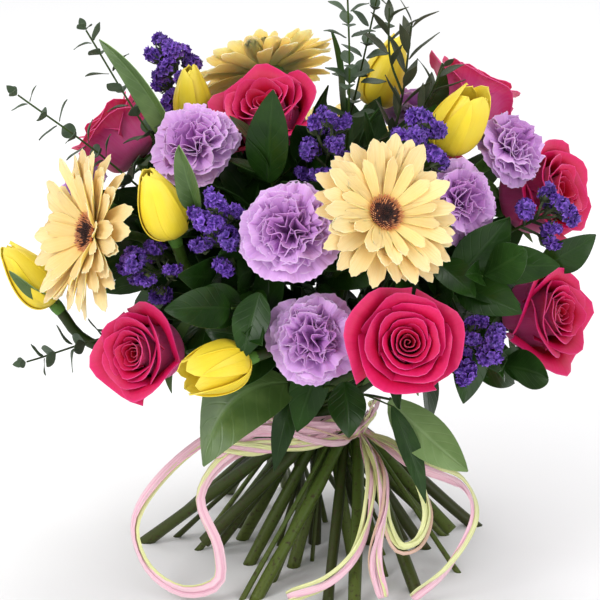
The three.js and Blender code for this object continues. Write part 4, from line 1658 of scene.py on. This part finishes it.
FOLIAGE = [
    Foliage("eucalyptus", EUCALYPTUS_KIND, EUCALYPTUS, (4, 7), (
        LeafFinish("eucalyptus_under", (0.07, 0.105, 0.06), (0.10, 0.14, 0.09), (0.14, 0.18, 0.10),
                   0.65, 0.3, 5.0),
        LeafFinish("eucalyptus_leaf", (0.045, 0.075, 0.038), (0.07, 0.11, 0.06), (0.12, 0.15, 0.08),
                   0.5, 0.3, 5.0),
    )),
    Foliage("willow", WILLOW_KIND, WILLOWS, (4, 7), (
        LeafFinish("willow_under", (0.06, 0.075, 0.045), (0.085, 0.095, 0.055), (0.13, 0.10, 0.06),
                   0.6, 0.4, 6.0),
        LeafFinish("willow_leaf", (0.045, 0.06, 0.032), (0.075, 0.085, 0.045), (0.13, 0.09, 0.05),
                   0.5, 0.5, 6.0),
    )),
    Foliage("ruscus", RUSCUS_KIND, RUSCUS, (8, 14), (
        LeafFinish("ruscus_under", (0.018, 0.055, 0.008), (0.03, 0.085, 0.014), (0.06, 0.13, 0.03),
                   0.45, 0.3, 7.0),
        LeafFinish("ruscus_leaf", (0.010, 0.036, 0.004), (0.02, 0.06, 0.007), (0.04, 0.10, 0.018),
                   0.3, 0.25, 7.0),
    )),
    Foliage("broad_leaf", BROAD_KIND, BROAD, (8, 14), (
        LeafFinish("broad_under", (0.20, 0.31, 0.11), (0.26, 0.38, 0.15), (0.36, 0.48, 0.24),
                   0.45, 0.4, 8.0),
        LeafFinish("broad_leaf", (0.055, 0.11, 0.022), (0.10, 0.17, 0.045), (0.16, 0.26, 0.09),
                   0.34, 0.3, 8.0, 0.45),
    )),
]


@dataclass
class StaticeSprays:
    """Fans of thin stems that end in tight ruffled clusters of papery cups.

    The profile's rings are each a radius, a height, a depth of ruffle and a tone; the tone is painted light
    and shade, light on the cups' rims and dark down inside them and at their foot. The comb is the
    cluster's half length, and the ball is its radius.
    """

    seed: int = 700
    clusters: int = 11
    reach: float = 19.0
    spread: float = 36.0
    cups: int = 30
    ball: float = 2.9
    comb: float = 4.2
    scales: int = 9
    sides: int = 10
    profile: tuple = ((0.4, 0.0, 0.0, 0.0), (1.4, 2.2, 0.04, 0.3), (2.7, 3.9, 0.16, 1.0),
                      (1.5, 3.2, 0.1, 0.6), (0.2, 2.0, 0.0, 0.1))
    base: Profile = ((0.5, -7.5), (2.2, -5.0), (3.9, -1.6), (3.0, 1.0))
    # on the cups the light colour is painted light on the rims and the dark one painted shade inside them
    finishes: tuple[MattFinish, MattFinish] = (
        MattFinish("statice_cups", (0.30, 0.12, 0.72), (0.05, 0.014, 0.21), 0.6, 500.0),
        MattFinish("statice_green", (0.14, 0.17, 0.06), (0.04, 0.06, 0.022), 0.7, 500.0),
    )

    def cup(self, size: float, chance: float) -> Shape:
        """One papery cup, along +Z.

        Args:
            size: its size beside a full cup.
            chance: its own shade.

        Returns:
            The shape.
        """
        angles = around(self.sides)
        ruffle = np.where(np.arange(self.sides) % 2, 1.0, -1.0)
        rows = []
        for radius, height, depth, _ in self.profile:
            rows.append(polar(radius * (1 + depth * ruffle), angles, height + 2.2 * depth * ruffle))
        # each ring's tone: painted light on the rims and painted shade inside the cups
        tones = np.repeat([tone for *_, tone in self.profile], self.sides)
        marks = {"along": tones, "chance": np.full(len(tones), chance)}
        return Shape(np.concatenate(rows) * size, ring_faces(len(rows), self.sides), marks)

    def build(self, lines: dict[str, Array]) -> None:
        """Makes the sprays.

        Args:
            lines: the stems' lines by name.
        """
        materials = materials_of(self.finishes)
        for index, spray in enumerate(STATICE):
            pile = Pile(spray.name + "_cups")
            self.fan(pile, lines[spray.name], index, spray.size, np.random.default_rng(self.seed + index))
            seated(pile.build(materials), "statice", spray.name)

    def fan(self, pile: Pile, line: Array, index: int, size: float, rng: Random) -> None:
        """Adds the twigs of one spray, each with its cluster.

        Args:
            pile: the piece that they join.
            line: the spray's stem.
            index: its number among the sprays, which turns it.
            size: its size beside a full spray.
            rng: the source of its own small differences.
        """
        tangents, first, second = path_frames(line)
        count = max(4, round(self.clusters * size))
        travelled = distances(line)
        for i in range(count):
            roll = math.radians(LEAF_TURN) * i + index
            side = math.cos(roll) * first[-1] + math.sin(roll) * second[-1]
            tilt = math.radians(8 + 50 * math.sqrt(i / count))
            way = tangents[-1] * math.cos(tilt) + side * math.sin(tilt)
            back = travelled[-1] - 4 - self.spread * size * i / count
            start = np.array([np.interp(back, travelled, line[:, axis]) for axis in range(3)])
            reach = self.reach * rng.uniform(0.84, 1.12)
            bow = np.cross(way, side) * rng.uniform(-3, 3)
            twig = smooth_path([start, start + way * reach * 0.5 + bow, start + way * reach], 8)
            pile.add(tube(twig, np.linspace(1.2, 0.8, 8), 5, chance=rng.uniform()), 1)
            self.cluster(pile, twig[-1], unit(way + rng.normal(0, 0.25, 3)), rng)

    def cluster(self, pile: Pile, middle: Array, way: Array, rng: Random) -> None:
        """Adds one rounded cluster of cups on its green scales.

        Args:
            pile: the piece that it joins.
            middle: the cluster's middle.
            way: the way that it faces.
            rng: the source of its own small differences.
        """
        left = unit(np.cross(way, np.array([0.31, 0.17, 0.93])))
        up = np.cross(way, left)
        shade = rng.uniform(0.15, 1.0)
        size = rng.uniform(0.86, 1.02)
        comb = unit(way * 0.5 + left * rng.uniform(-1, 1) + up * rng.uniform(-1, 1)) * self.comb
        for j in range(self.cups):
            z = 1 - 1.4 * (j + 0.5) / self.cups
            a = math.radians(FLORET_TURN) * j
            level = (left * math.cos(a) + up * math.sin(a)) * math.sqrt(1 - z * z)
            out = unit(way * z + level + rng.normal(0, 0.08, 3))
            across = unit(np.cross(out, up + 0.01))
            at = middle + comb * math.sin(2.4 * j) + out * self.ball * size * 0.9
            seat = basis(at, across, np.cross(out, across), out) @ turned(any_phase(rng))
            chance = min(1.0, max(0.0, shade + rng.uniform(-0.25, 0.25)))
            pile.add(self.cup(size * rng.uniform(0.85, 1.12), chance).moved(seat))
        below = basis(middle, left, up, way)
        pile.add(lathe(self.base, 9, chance=rng.uniform()).moved(below), 1)
        for j in range(self.scales):
            a = math.tau * j / self.scales + rng.uniform(-0.3, 0.3)
            out = left * math.cos(a) + up * math.sin(a)
            steps = [out * 2.0 - way * 5, out * rng.uniform(4.5, 6) - way * 2.5]
            steps = middle + np.array([*steps, out * rng.uniform(5, 8) + way])
            pile.add(tube(steps, np.array([0.9, 0.6, 0.15]), 3, chance=rng.uniform()), 1)


@dataclass
class HeadLeaves:
    """The dark leaves that fill the head between the flowers, and the collar just above the tie.

    They stand on an egg with the head's half widths, between its lowest and highest shares. One that would
    come within the clear distance of a flower's middle retreats into the head.
    """

    count: int = 260
    collar: int = 34
    kind: LeafKind = RUSCUS_KIND
    seed: int = 900
    grid: tuple[int, int] = (4, 7)
    head: Point = (150, 140, 112)
    lowest: float = -0.5
    highest: float = 0.95
    clear: float = 32.0
    retreat: float = 30.0

    def drawn_back(self, at: Array, along: Array, size: float) -> Array:
        """A leaf's root, drawn back into the head where the leaf would come through a flower.

        Args:
            at: the root.
            along: the way that the leaf grows.
            size: its size beside a full leaf.

        Returns:
            The root.
        """
        places = at + along * self.kind.length * size * np.array([[0.5], [0.75], [1.0]])
        for bloom in (*ROSES, *CARNATIONS, *GERBERAS, *TULIPS):
            middle = np.array(bloom.at) - bloom.axis() * 8
            if np.min(np.linalg.norm(places - middle, axis=1)) < self.clear * bloom.size:
                return at - along * self.retreat
        return at

    def build(self, materials: list[Material]) -> None:
        """Makes them, on a spiral over the head from below the flowers to its top.

        Args:
            materials: the finishes of the leaf's back and face.
        """
        rng = np.random.default_rng(self.seed)
        sheet = Blank(*self.grid)
        pile = Pile("head_leaves")
        for i in range(self.count):
            z = self.lowest + (self.highest - self.lowest) * (i + 0.5) / self.count
            ring = math.sqrt(max(0.0, 1 - min(abs(z), 1) ** 2))
            angle = math.radians(FLORET_TURN) * i
            out = np.array([math.cos(angle) * ring, math.sin(angle) * ring, z])
            at = np.array(HEAD_MIDDLE) + out * np.array(self.head) * rng.uniform(0.34, 0.74)
            along = unit(out + rng.normal(0, 0.42, 3) + np.array([0, 0, 0.15]))
            side = unit(np.cross(along, rng.normal(0, 1, 3)))
            size = rng.uniform(0.75, 1.2)
            at = self.drawn_back(at, along, size)
            leaf = sheet.shape(self.kind.leaf(sheet, size, rng), chance=rng.uniform(0, 0.8))
            pile.add(leaf.moved(laid(at, along, side)))
        for i in range(self.collar):
            out = heading(LEAF_TURN * i)
            near_knot = max(0.0, float(out @ unit(KNOT * LEVEL))) ** 6
            at = out * rng.uniform(20, 31) + np.array([0, 0, rng.uniform(100, 120) + 18 * near_knot])
            along = unit(out + np.array([0, 0, rng.uniform(0.5, 1.7) + near_knot]) + rng.normal(0, 0.12, 3))
            side = unit(np.cross(UP, along) + rng.normal(0, 0.2, 3))
            corners = self.kind.leaf(sheet, rng.uniform(0.6, 0.95), rng)
            leaf = sheet.shape(corners, chance=rng.uniform(0, 0.7))
            pile.add(leaf.moved(laid(at, along, side)))
        seated(pile.build(materials, LEAF_THICKNESS), "ruscus")


# Stems


@dataclass
class Stems:
    """The bundle: every stem, the green cups under the flowers and the cut ends.

    The stems' middles stay within the bundle's radius less the inset when they are first placed at the
    tie, and rounds is how often they then push one another apart.
    """

    seed: int = 800
    sides: int = 9
    inset: float = 5.0
    rounds: int = 60
    grid: tuple[int, int] = (4, 8)
    finishes: tuple = (
        StemFinish("stem_skin", (0.066, 0.082, 0.016), (0.034, 0.066, 0.010), (0.035, 0.024, 0.008)),
        StemFinish("green_cup", (0.10, 0.20, 0.05), (0.07, 0.16, 0.03), (0.04, 0.09, 0.02), 0.5),
        MattFinish("cut_end", (0.45, 0.48, 0.25), (0.30, 0.30, 0.12), 0.8),
    )

    def spaced(self, stalks: list[Stalk]) -> None:
        """Gives each stem its place at the tie.

        Args:
            stalks: the stems. Those that lean furthest pass the tie furthest out.
        """
        ranked = sorted(stalks, key=lambda stalk: stalk.lean)
        for rank, stalk in enumerate(ranked):
            radius = (BUNDLE_RADIUS - self.inset) * math.sqrt(rank / len(ranked))
            stalk.waist = heading(stalk.outwards - 90) * radius
            stalk.waist[2] = TIE_HEIGHT
        for _ in range(self.rounds):
            for one in ranked:
                for other in ranked:
                    apart = one.waist - other.waist
                    gap = one.thickness + other.thickness + STEM_GAP - np.linalg.norm(apart)
                    if one is other or gap <= 0:
                        continue
                    push = unit(apart) * gap / 2
                    if not one.central:
                        one.waist = one.waist + push
                    if not other.central:
                        other.waist = other.waist - push

    def build(self, lines: dict[str, Array]) -> None:
        """Makes the stems.

        Args:
            lines: the stems' lines by name.
        """
        rng = np.random.default_rng(self.seed)
        sheet = Blank(*self.grid)
        materials = materials_of(self.finishes)
        pile = Pile("stem_bundle")
        blades = Pile("sepals")
        for kind, places in FLOWERS:
            for index, bloom in enumerate(places):
                self.stem(pile, lines[bloom.name], kind.stem, rng)
                kind.calyx.grow(pile, blades, bloom.seat(kind.height, index), sheet, rng)
        for radius, places in SPRAYS:
            for spray in places:
                self.stem(pile, lines[spray.name], radius, rng, taper=0.45)
        for shoot, radius in SHOOTS:
            pile.add(tube(shoot, np.linspace(radius, radius * 0.6, len(shoot)), 6, chance=0.3))
        bundle = pile.build(materials)
        self.cut(bundle)
        seated(bundle, "stem", "stems")
        seated(blades.build([materials[1]] * 2, BLADE_THICKNESS), "stem")

    def stem(self, pile: Pile, line: Array, radius: float, rng: Random, taper: float = 0.92) -> None:
        """Adds one stem with its joints and small swellings.

        Args:
            pile: the piece that it joins.
            line: its line.
            radius: of its foot.
            rng: the source of its own small differences.
            taper: the share of the radius that is left at its top.
        """
        line = line[::2]
        share = np.linspace(0, 1, len(line))
        joints = 1 + 0.05 * np.sin(share * rng.uniform(18, 30) + rng.uniform(0, 6))
        radii = radius * (1.08 + (taper - 1.08) * share) * joints
        pile.add(tube(line, radii, self.sides, chance=rng.uniform()))

    def cut(self, bundle: bpy.types.Object) -> None:
        """Cuts the feet level where the bouquet stands, and closes the cuts.

        Args:
            bundle: the stems.
        """
        bpy.ops.object.mode_set(mode="EDIT")
        bpy.ops.mesh.select_all(action="SELECT")
        bpy.ops.mesh.bisect(plane_co=(0, 0, 0), plane_no=(0, 0, -1), use_fill=True, clear_outer=True)
        bpy.ops.object.mode_set(mode="OBJECT")
        for face in bundle.data.polygons:
            if face.normal.z < -0.98 and face.center.z < 0.001:
                face.material_index = 2


# Raffia


class Tint(Enum):
    """The colours of raffia strands, by the number of their finish."""

    PINK = 0
    LIME = 1
    STRAW = 2


P, L, S = Tint.PINK, Tint.LIME, Tint.STRAW


@dataclass(frozen=True)
class Strip:
    """Strands that hang together: half their spread, their middle line, and each one's half width."""

    name: str
    path: list[Point]
    strands: tuple[tuple[Tint, float], ...]
    half: float = 5.0
    loop: bool = False


STRIPS = [
    Strip("left_loop", [
        (30, -33, 97), (-8, -43, 98), (-62, -50, 97), (-102, -72, 72), (-117, -82, 46), (-108, -92, 20),
        (-84, -99, 7), (-62, -99, 14), (-62, -90, 34), (-74, -70, 62), (-52, -52, 86), (-4, -42, 88),
        (30, -33, 92),
    ], ((P, 3.4), (L, 1.7), (P, 1.5)), loop=True),
    Strip("right_tail", [
        (30, -31, 95), (64, -58, 80), (96, -66, 69), (103, -78, 51), (85, -96, 21), (62, -104, 5),
    ], ((P, 2.8), (L, 1.9), (P, 1.2))),
    Strip("small_loop", [
        (30, -31, 93), (58, -58, 86), (70, -70, 65), (73, -80, 50), (66, -87, 36), (55, -89, 34),
        (46, -83, 48), (42, -62, 78), (30, -31, 91),
    ], ((L, 2.4), (S, 1.2), (L, 1.8)), loop=True),
    Strip("centre_tail", [(30, -31, 92), (42, -64, 80), (44, -80, 61), (38, -98, 29), (44, -110, 8)],
          ((P, 2.8), (L, 2.0), (P, 1.6), (S, 0.9))),
    Strip("inner_tail", [(30, -31, 91), (36, -72, 71), (27, -95, 37), (8, -106, 18), (-18, -110, 8)],
          ((L, 2.0), (P, 2.4), (L, 1.3))),
    Strip("ear", [(30, -31, 94), (37, -48, 111), (38, -56, 124)],
          ((P, 2.4), (L, 1.9), (P, 1.6), (L, 1.3))),
    Strip("short_tails", [(30, -33, 95), (-4, -44, 94), (-36, -49, 93), (-66, -56, 88)],
          ((P, 2.4), (L, 2.2), (P, 2.0), (L, 1.6), (P, 2.2), (S, 0.9)), half=10.5),
]


@dataclass
class Raffia:
    """The binding round the stems, its knot, and the loose loops and tails.

    The band is the height of the binding, the half is the half width of a strand of binding and knot,
    and the places are those along the fine line of each strand.
    """

    seed: int = 950
    thickness: float = 0.4
    windings: int = 9
    band: float = 10.8
    knot_turns: int = 9
    half: float = 1.5
    places: int = 257
    sheet: Blank = field(default_factory=lambda: Blank(4, 64))
    finishes: tuple = (
        RaffiaFinish("raffia_pink", (0.90, 0.56, 0.66), (0.78, 0.36, 0.50)),
        RaffiaFinish("raffia_lime", (0.82, 0.84, 0.38), (0.66, 0.70, 0.22)),
        RaffiaFinish("raffia_straw", (0.52, 0.30, 0.13), (0.74, 0.45, 0.38)),
    )

    def strand(self, points: list, half: float, rng: Random, sway: float = 0.0, phase: float = 0.0,
               ends: tuple[float, float] = (1.0, 1.0)) -> Shape:
        """A narrow curled strand along a line.

        Args:
            points: the line's places.
            half: the strand's half width.
            rng: the source of its own small differences.
            sway: how far it wanders to either side of the line.
            phase: where it starts in its wandering, in radians.
            ends: the share of its width and wandering that it keeps at its two ends.

        Returns:
            The shape.
        """
        u, v = self.sheet.u, self.sheet.v
        line = smooth_path(points, self.places)
        tangents = unit(np.gradient(line, axis=0))
        outward = unit(line * LEVEL)
        sides = unit(np.cross(tangents, outward))
        normals = np.cross(sides, tangents)
        k = np.clip(np.round(v * (self.places - 1)).astype(int), 0, self.places - 1)
        width = np.minimum(1, np.minimum(ends[0] + 7 * v, ends[1] + 7 * (1 - v)))
        swing = phase + v * rng.uniform(3.5, 6.5)
        twist = 0.5 * np.sin(v * rng.uniform(6, 11) + any_phase(rng))
        across = u * half * np.maximum(width, 0.6)
        curl = 0.28 * np.cos(1.5 * math.pi * u) + 0.1 * half * np.sin(v * 31 + 4 * u)
        place = line[k] + sides[k] * (across * np.cos(twist) + sway * width * np.sin(swing))[:, None]
        place += normals[k] * (across * np.sin(twist) + curl + 0.3 * sway * width * np.cos(swing))[:, None]
        return self.sheet.shape(place, chance=rng.uniform())

    def taut(self, stalks: list[Stalk], level: float, out: float, tilt: float) -> list[Array]:
        """The line that a taut strand takes round the stems.

        Args:
            stalks: the stems.
            level: its height.
            out: how far it stands off them.
            tilt: how far it rises and falls.

        Returns:
            The line's places.
        """
        middles = np.array([stalk.waist[:2] for stalk in stalks])
        radii = np.array([stalk.thickness for stalk in stalks]) * 1.08
        places = []
        for angle in np.linspace(0, math.tau, 49):
            way = np.array([math.cos(angle), math.sin(angle)])
            outermost = int(np.argmax(middles @ way + radii))
            here = middles[outermost] + way * (radii[outermost] + out)
            places.append(np.array([*here, level + tilt * math.sin(angle)]))
        return places

    def build(self, stalks: list[Stalk]) -> None:
        """Makes the binding, the knot and the strips.

        Args:
            stalks: the stems that it binds.
        """
        rng = np.random.default_rng(self.seed)
        materials = materials_of(self.finishes)
        band = Pile("raffia_binding")
        for turn in range(self.windings):
            level = TIE_HEIGHT - self.band / 2 + self.band * turn / (self.windings - 1)
            line = self.taut(stalks, level, 0.8 + 0.5 * (turn % 3), rng.uniform(-1.6, 1.6))
            band.add(self.strand(line, self.half, rng), (P, L, P, P, L)[turn % 5].value)
        knot = Pile("raffia_knot")
        for i in range(self.knot_turns):
            aside = np.array([1.3 * (i - 4), 0, 0])
            over = [(-3, -4 - rng.uniform(0, 2), -4), (1, -5.5 - rng.uniform(0, 2), 3)]
            turns = np.array([(-6, 7, -8), *over, (6, 5, 9)], float)
            line = [KNOT + aside * (1.0 - 0.25 * j) + place for j, place in enumerate(turns)]
            knot.add(self.strand(line, self.half, rng, 0.8, i), (P, L, P, L, P)[i % 5].value)
        self.finished(band, materials, "raffia_band")
        self.finished(knot, materials, "raffia_bow")
        for strip in STRIPS:
            pile = Pile("raffia_" + strip.name)
            points = [np.array(p, float) for p in strip.path]
            for i, (tint, half) in enumerate(strip.strands):
                phase = math.tau * i / len(strip.strands)
                ends = (0.3, 0.3 if strip.loop else 0.8)
                pile.add(self.strand(points, half, rng, strip.half - half, phase, ends), tint.value)
            piece = self.finished(pile, materials)
            width = 2 * sum(half for _, half in strip.strands)
            flat = (width * MM, path_length(smooth_path(points, self.places)) * MM)

    def finished(self, pile: Pile, materials: list[Material], *nodes: str) -> bpy.types.Object:
        """Makes a piece of raffia, gives it its thickness and seats it.

        Args:
            pile: its strands.
            materials: the finishes of pink, lime and straw raffia.
            nodes: the solids that it stands for.

        Returns:
            The piece.
        """
        piece = pile.build(materials)
        thickened(piece, self.thickness)
        return seated(piece, "raffia", *nodes)


# The studio


@dataclass(frozen=True)
class Lamp:
    """A soft square lamp: its place and width in metres, and its power in watts."""

    name: str
    at: Point
    power: float
    width: float

    def build(self, centre: Point) -> None:
        """Makes the lamp, facing a place.

        Args:
            centre: the place.
        """
        bpy.ops.object.light_add(type="AREA", location=self.at)
        lamp = bpy.context.active_object
        lamp.name = self.name
        lamp.data.energy = self.power
        lamp.data.size = self.width
        lamp.rotation_euler = (Vector(centre) - Vector(self.at)).to_track_quat("-Z", "Y").to_euler()


@dataclass
class Studio:
    """A pale room with soft light, and the camera at the photograph's angle. Lengths are in metres."""

    centre: Point = (-0.010, 0.0, 0.173)
    distance: float = 2.0
    elevation: float = 18.0
    lens: float = 182.0
    floor: float = 14.0
    daylight: float = 0.85
    lamps: tuple[Lamp, ...] = (
        Lamp("key", (-1.5, -1.4, 1.5), 26.0, 1.1),
        Lamp("fill", (1.4, -1.8, 0.45), 19.0, 1.4),
        Lamp("crown", (0.2, 0.9, 1.9), 16.0, 1.2),
    )

    def build(self) -> None:
        """Makes the floor, the lights and the camera."""
        scene = bpy.context.scene
        scene.view_settings.view_transform = "Standard"
        bpy.ops.object.select_all(action="DESELECT")
        bpy.ops.mesh.primitive_plane_add(size=self.floor, location=(0, 0, 0))
        floor = bpy.context.active_object
        floor.name = "floor"
        pale = Shader("pale_floor", 0.9)
        pale.polish({"Base Color": (0.86, 0.86, 0.87, 1.0)})
        floor.data.materials.append(pale.material)
        world = bpy.data.worlds.new("studio")
        world.use_nodes = True
        background = world.node_tree.nodes["Background"].inputs
        background["Color"].default_value = (*WHITE, 1.0)
        background["Strength"].default_value = self.daylight
        scene.world = world
        for lamp in self.lamps:
            lamp.build(self.centre)
        down = math.radians(self.elevation)
        look = Vector((0, math.cos(down), -math.sin(down)))
        bpy.ops.object.camera_add(location=Vector(self.centre) - look * self.distance)
        camera = bpy.context.active_object
        camera.rotation_euler = look.to_track_quat("-Z", "Y").to_euler()
        camera.data.lens = self.lens
        camera.data.sensor_width = 36.0
        camera.data.clip_start = 0.05
        scene.camera = camera


@dataclass
class Bouquet:
    """The whole bouquet, planned from the stems' places at the tie."""

    stalks: dict[str, Stalk] = field(default_factory=dict)
    lines: dict[str, Array] = field(default_factory=dict)

    def plan(self) -> None:
        """Works out where each stem passes the tie, and the line that it takes."""
        order = []
        for kind, places in FLOWERS:
            order += [Stalk(b.name, kind.stem, np.array(b.at, float), b.central, b.shorter) for b in places]
        for radius, places in SPRAYS:
            order += [Stalk(spray.name, radius, np.array(spray.path[0], float)) for spray in places]
        Stems().spaced(order)
        self.stalks = {stalk.name: stalk for stalk in order}
        for kind, places in FLOWERS:
            for bloom in places:
                base, axis = bloom.base(kind.height), bloom.axis()
                top = base - axis * (kind.cup * bloom.size - INTO_CUP)
                self.lead(bloom.name, [base - axis * STEM_BEND, top])
        for _, places in SPRAYS:
            for spray in places:
                self.lead(spray.name, spray.path)

    def lead(self, name: str, upper: list) -> None:
        """Draws a stem's line from its foot past the tie and through its upper places."""
        self.lines[name] = smooth_path([*self.stalks[name].start(), *upper], LINE_PLACES)

    def flowers(self) -> None:
        """Makes the flowers."""
        for kind, places in FLOWERS:
            kind.build(places)

    def greenery(self) -> None:
        """Makes the leafy stems, the statice and the leaves inside the head."""
        for foliage in FOLIAGE:
            foliage.build(self.lines)
        StaticeSprays().build(self.lines)

    def bundle(self) -> None:
        """Makes the stems and the raffia that ties them."""
        Stems().build(self.lines)
        Raffia().build(list(self.stalks.values()))


def main() -> None:
    """Builds the bouquet and its studio."""
    logging.basicConfig(level=logging.INFO)
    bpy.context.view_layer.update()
    bouquet = Bouquet()
    bouquet.plan()
    bouquet.flowers()
    bouquet.greenery()
    bouquet.bundle()
    Studio().build()


if __name__ == "__main__":
    main()
